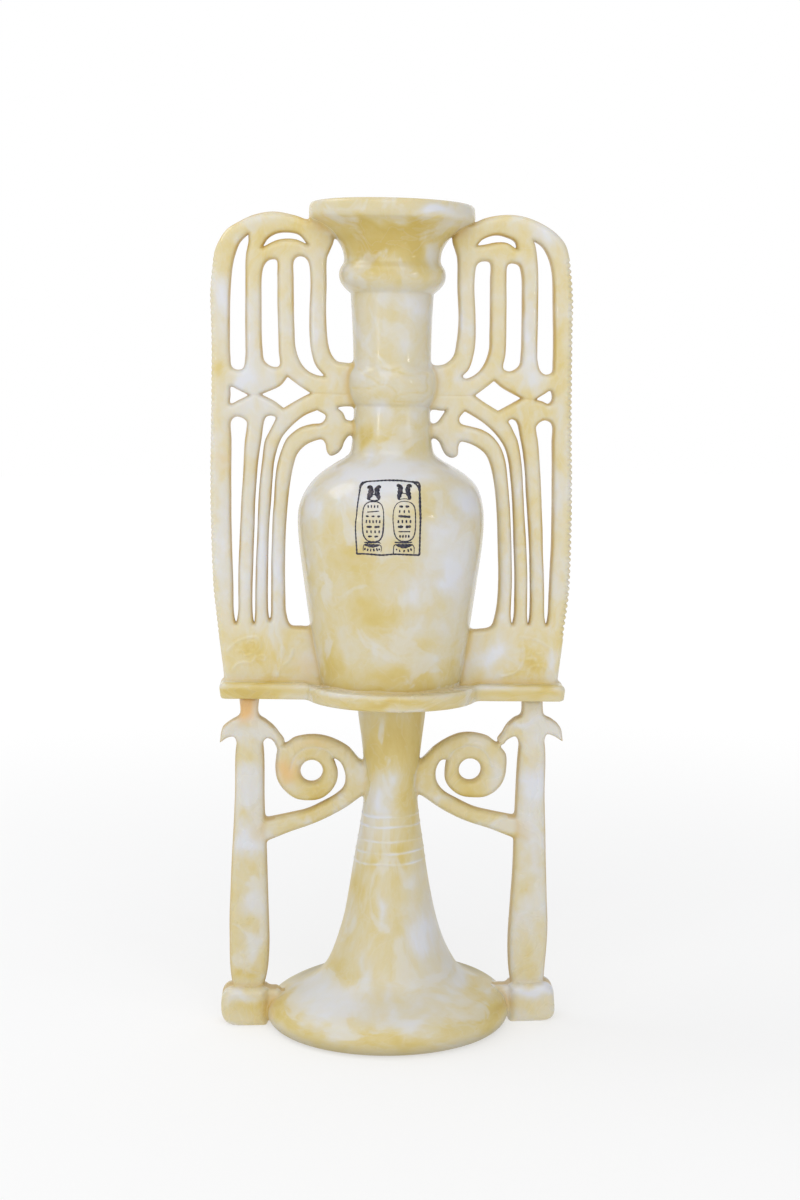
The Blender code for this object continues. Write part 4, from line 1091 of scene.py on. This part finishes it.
toneForm = {
    "lying": (22.0, 75.0, 0.42),  # the clouds on the dome lie between these heights, this much drawn out
    "lyingUp": (0.0022, 45.0),
    "patchDrift": ((4.5, 7.0), (5.5, 9.0)),  # swells that draw the patches out of round
    "patchBack": (-4.0, 12.0),   # depths between which the patches fade, and how much of them goes
    "patchFade": 0.85,
    "patchWeight": 0.25,
    "stainStart": 1.0,           # the stain of a crease is full within this of the next part
    "stainReach": 2.6,
    "faceAt": {"vessel": 6.3, "scroll": 6.5, "post": 8.5},  # how deep the front and back faces lie
    "scrollOut": 86.0,           # the scrolls lie nearer the middle than this, the posts further out
    "wallFrom": (4.2, 1.4),      # how far behind a face the walls of the openings begin and are full
    "wallOut": 30.0,
    "nearMiddle": 12.0,          # within this the distance to a wing or side is made greater
    "bandPale": 0.20,
    "bandUneven": (0.8, (1.1, 6.0), 0.1, 1.6),  # mean, swells, least and most of it
    # Painted shade on the stem and foot: under the foot's edge and on the dome's back.
    "underEdgeShade": ((0.0, 13.0), (60.0, 84.0)),  # heights and radii of the foot's underside
    "behind": ((-0.05, 0.5), (42.0, 52.0), (66.0, 84.0)),  # share of depth, heights, radii of the dome's back
    "behindShadeShare": 0.95,
    "behindRimLoss": 0.6,
    "sideStain": 0.65,
    # The inner edge of the scroll's spiral gets a painted highlight.
    "spiralHighlight": (0.30, -1.2, 1.3),  # how pale the spiral is, how far from its line, over what width
    # The collar's carving gets painted shade.
    "carvingShade": 0.09,
    "seamStain": 0.62,
    "rim": ((4.4, 6.9), (118.0, 124.0), (34.0, 44.0)),  # depths and distances out of the openings' rims
    # Painted shade on the rims of the wings' openings.
    "rimShade": (0.72, (0.45, 8.0)),
    # The raised lines on the wings get a painted highlight and, along their border, painted shade.
    "lineHighlight": (0.035, 1.0),
    "lineShade": (0.025, 2.3, 0.9),
    # The board's upper edge gets a painted highlight.
    "edgeHighlight": (0.09, (0.8, 3.2), (4.6, 5.6)),  # how pale the board's upper edge is, at what heights
}


# The sum of bell curves about the patches, drawn out of round by swells, full on the front and
# nearly gone at the back.
def bellSum(spots, x, y, z):
    driftX, driftZ = toneForm["patchDrift"]
    x, z = x + swells(driftX, x, y, z, 6.0), z + swells(driftZ, x, y, z, 8.0)
    middleX, middleZ, reachX, reachZ, strength = np.array(spots, float).T
    bells = bell(x[:, None] - middleX, reachX) * bell(z[:, None] - middleZ, reachZ)
    return (bells @ strength) * (1.0 - toneForm["patchFade"] * rise(y, *toneForm["patchBack"]))


# Keeps a wing's or side's distance from reaching over to the other half of the object.
def onItsSide(gap, side):
    return lambda x, y, z: gap(x, y, z) + np.maximum(toneForm["nearMiddle"] - side * x, 0.0)


# The distances to the parts of each solid, to find where two of them meet.
partGaps = {
    "vessel": [vaseGap, boardGap] + [onItsSide(wingGaps[side], side) for side in (1, -1)],
    "stand": [stemGap, boardGap] + [
        onItsSide(lambda x, y, z, side=side, part=part: sideParts[side](x, y, z)[part], side)
        for side in (1, -1) for part in range(3)]}


# The grain holds the places that the marbling is worked out from, stretched as the piece was poured:
# up the stem the clouds stand, and on the dome of the foot they lie.
def grainOf(name, x, y, z, pour):
    places = np.column_stack([x, y, z]) * mm
    if name == "stemAndFoot":
        (low, high, drawn), (slope, most) = toneForm["lying"], toneForm["lyingUp"]
        places[:, :2] *= (1.0 - drawn * (1.0 - rise(z, low, high)))[:, None]
        places[:, 2] += slope * np.minimum(z, most)
    return places * pour["stretch"] + pour["shift"]


# The vase: a little darker in the collar's carving, painted shade.
def vaseTone(side, x, y, z, stainAndShade, wall, clouds):
    return stainAndShade, wall, clouds - toneForm["carvingShade"] * collarCarving(x, y, z) / collarForm["depth"]


# A wing: stain along the seams and, unevenly, painted shade in the stain's amber on the rims of the
# openings; the raised lines are paler, a painted highlight, and have a darker border, painted shade.
def wingTone(side, x, y, z, stainAndShade, wall, clouds):
    form, out, level = toneForm, side * x, vesselLevel(x, z)
    stainAndShade = np.maximum(stainAndShade, form["seamStain"] * seamShare(out, level))
    # Painted shade in the stain's amber, uneven, on the rims and walls of the openings.
    depths, outer, inner = form["rim"]
    rim = (1.0 - rise(np.abs(y), *depths)) * hump(out, inner, outer)
    mean, uneven = form["rimShade"]
    stainAndShade = np.maximum(stainAndShade, rim * (mean + swells(uneven, x, 0.0, z, 5.0)))
    # The raised lines get a painted highlight and, along their border, painted shade.
    far = panelFar(side, out, level)
    (pale, width), (dark, border, borderWidth) = form["lineHighlight"], form["lineShade"]
    return stainAndShade, wall, clouds + (pale * bell(far, width) - dark * bell(far - border, borderWidth)) * (y < 0.0)


# The board: paler along its upper edge, a painted highlight.
def boardTone(side, x, y, z, stainAndShade, wall, clouds):
    pale, up, down = toneForm["edgeHighlight"]
    return stainAndShade, wall, clouds + pale * hump(vesselLevel(x, z) - boardMiddle, up, down)


# The stem and foot: pale on the bands, unevenly, and painted shade with a rougher finish behind the dome
# and under its edge.
def stemTone(side, x, y, z, stainAndShade, wall, clouds):
    form, radius = toneForm, np.hypot(x, y)
    mean, uneven, least, most = form["bandUneven"]
    clouds = clouds + form["bandPale"] * bandShare(x, z) * np.clip(mean + swells(uneven, x, y, z), least, most)
    # Painted shade under the foot's edge and on the dome's back, in the green channel.
    heights, radii = form["underEdgeShade"]
    underside = (1.0 - rise(z, *heights)) * rise(radius, *radii)
    depths, heights, radii = form["behind"]
    behind = rise(y / np.maximum(radius, 1.0), *depths) * (1.0 - rise(z, *heights))
    behind = behind * (1.0 - form["behindRimLoss"] * rise(radius, *radii))
    return stainAndShade, np.maximum(form["behindShadeShare"] * behind, underside), clouds


# A side: less stain, and paler along the inner edge of the scroll's spiral, a painted highlight.
def sideTone(side, x, y, z, stainAndShade, wall, clouds):
    pale, off, width = toneForm["spiralHighlight"]
    far = readTable(spiralTable, side * x, standLevel(x, z)) - off
    clouds = clouds + pale * bell(far, width) * (side * x < toneForm["scrollOut"])
    return toneForm["sideStain"] * stainAndShade, wall, clouds


# Each piece carries a "tone": red is the stain in creases, e to the power of minus the gap to the next
# part over its reach, and on the wings also painted shade on the rims of the openings; green is painted
# shade, on the walls of the openings and behind the dome and under the foot's edge; blue the soft patches
# about 0.5; alpha the peach.
def paintTone(piece, node, side, pour):
    form = toneForm
    places = np.empty(len(piece.data.vertices) * 3, np.float32)
    piece.data.vertices.foreach_get("co", places)
    x, y, z = (places.reshape(-1, 3) / mm).T.astype(float)
    nextGap = np.sort(np.abs(np.stack([gap(x, y, z) for gap in partGaps[node]])), 0)[1]
    stainAndShade = np.exp(-np.maximum(nextGap - form["stainStart"], 0.0) / form["stainReach"])
    face = form["faceAt"]["vessel"]
    if node == "stand":
        face = np.where(np.abs(x) < form["scrollOut"], form["faceAt"]["scroll"], form["faceAt"]["post"])
    # Painted shade on the walls of the openings, full a little behind the front and back faces.
    begin, full = form["wallFrom"]
    wall = (1.0 - rise(np.abs(y), face - begin, face - full)) * (side != 0) * (np.abs(x) > form["wallOut"])
    clouds = 0.5 + form["patchWeight"] * bellSum(cloudSpots[node], x, y, z)
    stainAndShade, wall, clouds = pour["tone"](side, x, y, z, stainAndShade, wall, clouds)
    peach = bellSum(peachSpots[node], x, y, z)
    grain = piece.data.attributes.new("grain", "FLOAT_VECTOR", "POINT")
    grain.data.foreach_set("vector", grainOf(piece.name, x, y, z, pour).astype(np.float32).ravel())
    tone = piece.data.attributes.new("tone", "FLOAT_COLOR", "POINT")
    tone.data.foreach_set("color", np.column_stack([stainAndShade, wall, clouds, peach]).astype(np.float32).ravel())


# A node with its settings; each input takes a socket's link or a value.
def addNode(tree, kind, inputs, **settings):
    made = tree.nodes.new(kind)
    for name, value in settings.items():
        setattr(made, name, value)
    for name, value in inputs.items():
        if isinstance(value, bpy.types.NodeSocket):
            tree.links.new(value, made.inputs[name])
        else:
            made.inputs[name].default_value = value
    return made


# One sum on sockets or numbers.
def maths(tree, operation, *values, **settings):
    return addNode(tree, "ShaderNodeMath", dict(enumerate(values)), operation=operation, **settings).outputs[0]


# a * b + c on sockets or numbers.
def timesPlus(tree, a, b, c):
    return maths(tree, "MULTIPLY_ADD", a, b, c)


# Noise about 0.5, and as its second output a colour of three such noises: its scale, how many finer
# layers it has, how strong each is beside the one before, how far it is bent.
def noise(tree, place, scale, detail, roughness=0.5, distortion=0.0):
    inputs = {"Vector": place, "Scale": scale, "Detail": detail, "Roughness": roughness, "Distortion": distortion}
    return addNode(tree, "ShaderNodeTexNoise", inputs).outputs


# a * (1 - share) + b * share, where each colour is a socket or three numbers.
def mixColours(tree, share, a, b):
    a, b = (colour + (1.0,) if isinstance(colour, tuple) else colour for colour in (a, b))
    return addNode(tree, "ShaderNodeMix", {0: share, 6: a, 7: b}, data_type="RGBA").outputs[2]


# The colour between two stops runs evenly from the one to the other.
def colourRamp(tree, share, stops):
    ramp = addNode(tree, "ShaderNodeValToRGB", {0: share})
    for index, (at, colour) in enumerate(stops):
        stop = ramp.color_ramp.elements[index] if index < 2 else ramp.color_ramp.elements.new(at)
        stop.position = at
        stop.color = colour + (1.0,)
    return ramp.outputs["Color"]


# Start where the value is below low, end where it is above high, between them an S.
def valueRamp(tree, value, low, high, start, end):
    inputs = {0: value, 1: low, 2: high, 3: start, 4: end}
    return addNode(tree, "ShaderNodeMapRange", inputs, interpolation_type="SMOOTHSTEP").outputs[0]


# A material whose shader's own sockets are set.
def newMaterial(name, sockets):
    material = bpy.data.materials.new(name)
    material.use_nodes = True
    shader = material.node_tree.nodes["Principled BSDF"]
    for socket, value in sockets.items():
        shader.inputs[socket].default_value = value
    return material, material.node_tree, shader


# Tilts the shader's normal by the slope of a height.
def addBump(tree, shader, height, strength, distance):
    bump = addNode(tree, "ShaderNodeBump", {"Height": height, "Strength": strength, "Distance": distance})
    tree.links.new(bump.outputs["Normal"], shader.inputs["Normal"])


marbleLook = {
    "stops": [
        (0.0, (0.58, 0.435, 0.12)), (0.25, (0.63, 0.505, 0.195)), (0.5, (0.65, 0.567, 0.345)),
        (0.72, (0.65, 0.608, 0.50)), (1.0, (0.668, 0.674, 0.71))],
    "milk": (0.675, 0.677, 0.68),
    "thread": (0.70, 0.69, 0.66),
    # The amber of the stains in the creases, also used for the painted shade on the wings' opening rims.
    "stainAndShade": (0.59, 0.40, 0.11),
    "peach": (0.74, 0.48, 0.21),
    # The colour of the painted shade on the walls of the openings.
    "wall": (0.52, 0.35, 0.10),
    "base": 0.545,               # the mean tone: 0 deep honey, 1 white
    "patchWeight": 1.6,          # how much the patches and the wisps add to the tone
    "wispWeight": 0.24,
    "drift": 0.014,              # how far the clouds are drawn out, in metres
    "noises": {
        "drift": (22.0, 2.0), "clouds": (16.0, 2.6, 0.46, 0.25), "wisps": (46.0, 3.0, 0.45, 1.1),
        "fine": (120.0, 4.0, 0.6), "milk": (27.0, 3.5, 0.5, 0.9), "ripples": (95.0, 3.0, 0.4)},
    "puffs": (0.24, 0.69, 0.40),  # the tone's weight beside the milk, where a puff begins, its share
    "threads": (0.03, 0.10),     # how far from a wisp's middle value, and their share
    "wallShare": 0.68,
    "peachShare": 0.62,
    "patchy": (0.35, 0.62, 1.0, 0.6),  # the stain is weaker where the clouds are pale
    "stainAndShadeShare": (0.08, 0.95, 0.0, 0.66),
    "wispRange": (0.3, 0.7),
    "wallRough": 0.3,
    "bump": (0.35, 0.0006),
    "sockets": {
        "IOR": 1.5, "Subsurface Weight": 0.22, "Subsurface Radius": (1.0, 0.72, 0.35), "Subsurface Scale": 0.004},
}


# Cast marble: clouds of honey, cream and white drawn out by a slow drift, thin white wisps, stain in the
# creases, painted shade from the tone's green channel and on the wings' opening rims, a glossy finish
# with faint ripples, and a little light let in. The tone is the base and each noise less 0.5 times its weight.
def castMarble(name, look, pour):
    material, tree, shader = newMaterial(name, look["sockets"])
    place = addNode(tree, "ShaderNodeAttribute", {}, attribute_name="grain").outputs["Vector"]
    bend = noise(tree, place, *look["noises"]["drift"])["Color"]
    drawn = addNode(
        tree, "ShaderNodeVectorMath", {0: bend, 1: (2.0 * look["drift"],) * 3, 2: place},
        operation="MULTIPLY_ADD").outputs[0]
    clouds, wisps, fine, milk = (
        noise(tree, drawn, *look["noises"][kind])[0] for kind in ("clouds", "wisps", "fine", "milk"))
    paint = addNode(tree, "ShaderNodeAttribute", {}, attribute_name="tone")
    stainAndShade, wall, patches = addNode(tree, "ShaderNodeSeparateColor", {0: paint.outputs["Color"]}).outputs
    weighed = [
        (clouds, pour["cloudy"]), (patches, look["patchWeight"]), (fine, pour["fine"]), (wisps, look["wispWeight"])]
    tone = look["base"] - 0.5 * sum(weight for part, weight in weighed)
    for part, weight in weighed:
        tone = timesPlus(tree, part, weight, tone)
    # Lift scales a piece's colours; on the wings it is painted light, lightening them against the shade they stand
    # in.
    lift = pour.get("lift", 1.0)
    colour = colourRamp(tree, tone, [(at, tuple(lift * part for part in stop)) for at, stop in look["stops"]])
    weight, begin, share = look["puffs"]
    edge = pour["puffEdge"]
    puffs = valueRamp(tree, timesPlus(tree, tone, weight, milk), begin - edge, begin + edge, 0.0, share)
    colour = mixColours(tree, puffs, colour, look["milk"])
    width, share = look["threads"]
    ridge = maths(tree, "ABSOLUTE", maths(tree, "SUBTRACT", wisps, 0.5))
    colour = mixColours(tree, valueRamp(tree, ridge, 0.0, width, share, 0.0), colour, look["thread"])
    # Painted shade: the tone's green channel mixes the colour towards the shade colour.
    wallShare = timesPlus(tree, wall, look["wallShare"], 0.0)
    colour = mixColours(tree, wallShare, colour, pour.get("shade", look["wall"]))
    peachShare = timesPlus(tree, paint.outputs["Alpha"], look["peachShare"], 0.0)
    colour = mixColours(tree, maths(tree, "MAXIMUM", peachShare, 0.0, use_clamp=True), colour, look["peach"])
    # Stain in the creases and painted shade on the wings' opening rims, weaker where the clouds are pale.
    stainAndShadeMask = maths(tree, "MULTIPLY", stainAndShade, valueRamp(tree, clouds, *look["patchy"]))
    colour = mixColours(tree, valueRamp(tree, stainAndShadeMask, *look["stainAndShadeShare"]), colour, look["stainAndShade"])
    tree.links.new(colour, shader.inputs["Base Color"])
    gloss = valueRamp(tree, wisps, *look["wispRange"], *pour["gloss"])
    tree.links.new(timesPlus(tree, wall, look["wallRough"], gloss), shader.inputs["Roughness"])
    addBump(tree, shader, noise(tree, place, *look["noises"]["ripples"])[0], *look["bump"])
    return material


# How each piece was poured. The right wing and side follow the left ones.
pours = {
    "vaseSkin": {
        "shift": (0.0, 0.0, 0.0), "stretch": (1.0, 1.0, 1.0), "cloudy": 0.72, "fine": 0.36, "puffEdge": 0.055,
        "gloss": (0.15, 0.26), "tone": vaseTone},
    # The wings' colours are lifted: painted light against the shade they stand in.
    "wingLeft": {
        "shift": (0.47, 0.0, 0.33), "stretch": (1.15, 1.0, 0.8), "cloudy": 0.9, "fine": 0.50, "puffEdge": 0.07,
        "gloss": (0.08, 0.18), "lift": 1.06, "tone": wingTone},
    "boardSkin": {
        "shift": (0.0, 0.2, 0.5), "stretch": (0.6, 1.0, 1.6), "cloudy": 1.0, "fine": 0.38, "puffEdge": 0.06,
        "gloss": (0.20, 0.34), "tone": boardTone},
    # The stem and foot's shade is the colour of the painted shade behind the dome and under its edge.
    "stemAndFoot": {
        "shift": (0.7, 0.1, 0.0), "stretch": (1.3, 1.3, 0.6), "cloudy": 0.9, "fine": 0.42, "puffEdge": 0.05,
        "gloss": (0.34, 0.48), "shade": (0.33, 0.28, 0.16), "tone": stemTone},
    "sideLeft": {
        "shift": (0.2, 0.9, 0.3), "stretch": (1.1, 1.0, 0.9), "cloudy": 0.9, "fine": 0.40, "puffEdge": 0.06,
        "gloss": (0.20, 0.32), "tone": sideTone},
}
marbles = {name: castMarble("marble" + name[0].upper() + name[1:], marbleLook, pour) for name, pour in pours.items()}
for name, piece in pieces.items():
    node = "vessel" if name in ("vaseSkin", "wingLeft", "wingRight", "boardSkin") else "stand"
    batch = name.replace("Right", "Left")
    paintTone(piece, node, ("Right" in name) - ("Left" in name), pours[batch])
    piece.data.materials.append(marbles[batch])
    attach(piece, "root")
    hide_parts(node)
print("marble on", len(pieces), "pieces")

# The ink: glossy blue-black, here and there thinner and browner.
inkLook = {
    "thick": (0.010, 0.011, 0.030),
    "thin": (0.075, 0.060, 0.075),
    "patches": (260.0, 3.0),
    "thinFrom": (0.45, 0.72),
    "range": (0.3, 0.7),
    "gloss": (0.12, 0.30),
    "bump": (0.3, 0.0001),
}
ink, tree, shader = newMaterial("ink", {})
patches = noise(tree, addNode(tree, "ShaderNodeTexCoord", {}).outputs["Object"], *inkLook["patches"])[0]
thin = valueRamp(tree, patches, *inkLook["thinFrom"], 0.0, 1.0)
tree.links.new(mixColours(tree, thin, inkLook["thick"], inkLook["thin"]), shader.inputs["Base Color"])
tree.links.new(valueRamp(tree, patches, *inkLook["range"], *inkLook["gloss"]), shader.inputs["Roughness"])
addBump(tree, shader, patches, *inkLook["bump"])
printedPanel.data.materials.append(ink)
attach(printedPanel, "root")

# The floor is white, and glows more the further it lies from the object.
floorForm = {
    "half": 8.0,
    "near": (0.92, 0.92, 0.92),
    "far": (0.0, 0.0, 0.0),
    "glow": (0.18, 1.4, 0.54, 1.0),
    "sockets": {"Emission Color": (0.98, 0.98, 0.98, 1.0), "Roughness": 0.8, "Specular IOR Level": 0.1},
}
floorMesh = bpy.data.meshes.new("floor")
half = floorForm["half"]
floorMesh.from_pydata([(-half, -half, 0), (half, -half, 0), (half, half, 0), (-half, half, 0)], [], [(0, 1, 2, 3)])
floor = bpy.data.objects.new("floor", floorMesh)
bpy.context.scene.collection.objects.link(floor)
floorPaint, tree, shader = newMaterial("floorPaint", floorForm["sockets"])
place = addNode(tree, "ShaderNodeTexCoord", {}).outputs["Object"]
away = addNode(tree, "ShaderNodeVectorMath", {0: place}, operation="LENGTH").outputs["Value"]
glow = valueRamp(tree, away, *floorForm["glow"])
tree.links.new(mixColours(tree, glow, floorForm["near"], floorForm["far"]), shader.inputs["Base Color"])
tree.links.new(glow, shader.inputs["Emission Strength"])
floor.data.materials.append(floorPaint)

# The room is white at eye level and softer overhead and at the sides; the lamps give the shine.
studio = {
    "eyeLevel": 1.0,
    "overhead": (0.2, 0.45, 0.76),  # between which directions it changes, and to how much
    "right": (0.35, 0.85, 0.56),
    "left": (-0.95, -0.5, 0.88),
    "tinted": (0.45, 0.95),
    "white": (1.0, 1.0, 1.0),
    "sideTint": (0.84, 0.90, 1.0),
    "lamps": {                   # place, what it points at, size, power
        "highLeft": ((-0.94, 0.20, 1.44), (0.0, 0.0, 0.4), (0.80, 0.60), 4.0),
        "highFront": ((0.31, -0.47, 1.70), (0.0, 0.0, 0.4), (0.50, 0.35), 0.9),
        "levelRight": ((0.98, -0.91, 0.58), (0.0, 0.0, 0.35), (0.08, 0.08), 0.40),
        "levelLeft": ((-0.94, -0.98, 0.54), (0.0, 0.0, 0.35), (0.05, 0.12), 0.42),
        "broadFront": ((-0.2, -2.0, 1.9), (0.0, 0.0, 0.3), (2.6, 1.5), 15.0),
    },
}
bpy.context.scene.view_settings.view_transform = "Standard"
world = bpy.data.worlds.new("studio")
bpy.context.scene.world = world
world.use_nodes = True
tree = world.node_tree
background = tree.nodes["Background"]
way = addNode(tree, "ShaderNodeTexCoord", {}).outputs["Generated"]
aside, depth, height = addNode(tree, "ShaderNodeSeparateXYZ", {0: way}).outputs
low, high, share = studio["overhead"]
strength = valueRamp(tree, height, low, high, studio["eyeLevel"], share)
low, high, share = studio["right"]
right = valueRamp(tree, aside, low, high, 1.0, share)
low, high, share = studio["left"]
left = valueRamp(tree, aside, low, high, share, 1.0)
strength = maths(tree, "MULTIPLY", strength, maths(tree, "MULTIPLY", right, left))
tree.links.new(strength, background.inputs["Strength"])
tint = valueRamp(tree, maths(tree, "ABSOLUTE", aside), *studio["tinted"], 0.0, 1.0)
tree.links.new(mixColours(tree, tint, studio["white"], studio["sideTint"]), background.inputs["Color"])
for name, (place, target, size, power) in studio["lamps"].items():
    light = bpy.data.lights.new(name, "AREA")
    light.shape = "RECTANGLE"
    light.size, light.size_y = size
    light.energy = power
    lamp = bpy.data.objects.new(name, light)
    lamp.location = place
    lamp.rotation_euler = (Vector(target) - Vector(place)).to_track_quat("-Z", "Y").to_euler()
    bpy.context.scene.collection.objects.link(lamp)

cameraForm = {
    "place": (-0.0580, -1.4188, 0.478),
    "heading": (0.0454, 0.99897),
    "down": 6.54,
    "lens": 58.65,
    "sensor": 36.0,
    "nearest": 0.01,
}
lens = bpy.data.cameras.new("camera")
lens.sensor_fit = "AUTO"
lens.sensor_width = cameraForm["sensor"]
lens.lens = cameraForm["lens"]
lens.clip_start = cameraForm["nearest"]
camera = bpy.data.objects.new("camera", lens)
camera.location = cameraForm["place"]
down = math.radians(cameraForm["down"])
aside, ahead = (part * math.cos(down) for part in cameraForm["heading"])
camera.rotation_euler = Vector((aside, ahead, -math.sin(down))).to_track_quat("-Z", "Y").to_euler()
bpy.context.scene.collection.objects.link(camera)
bpy.context.scene.camera = camera
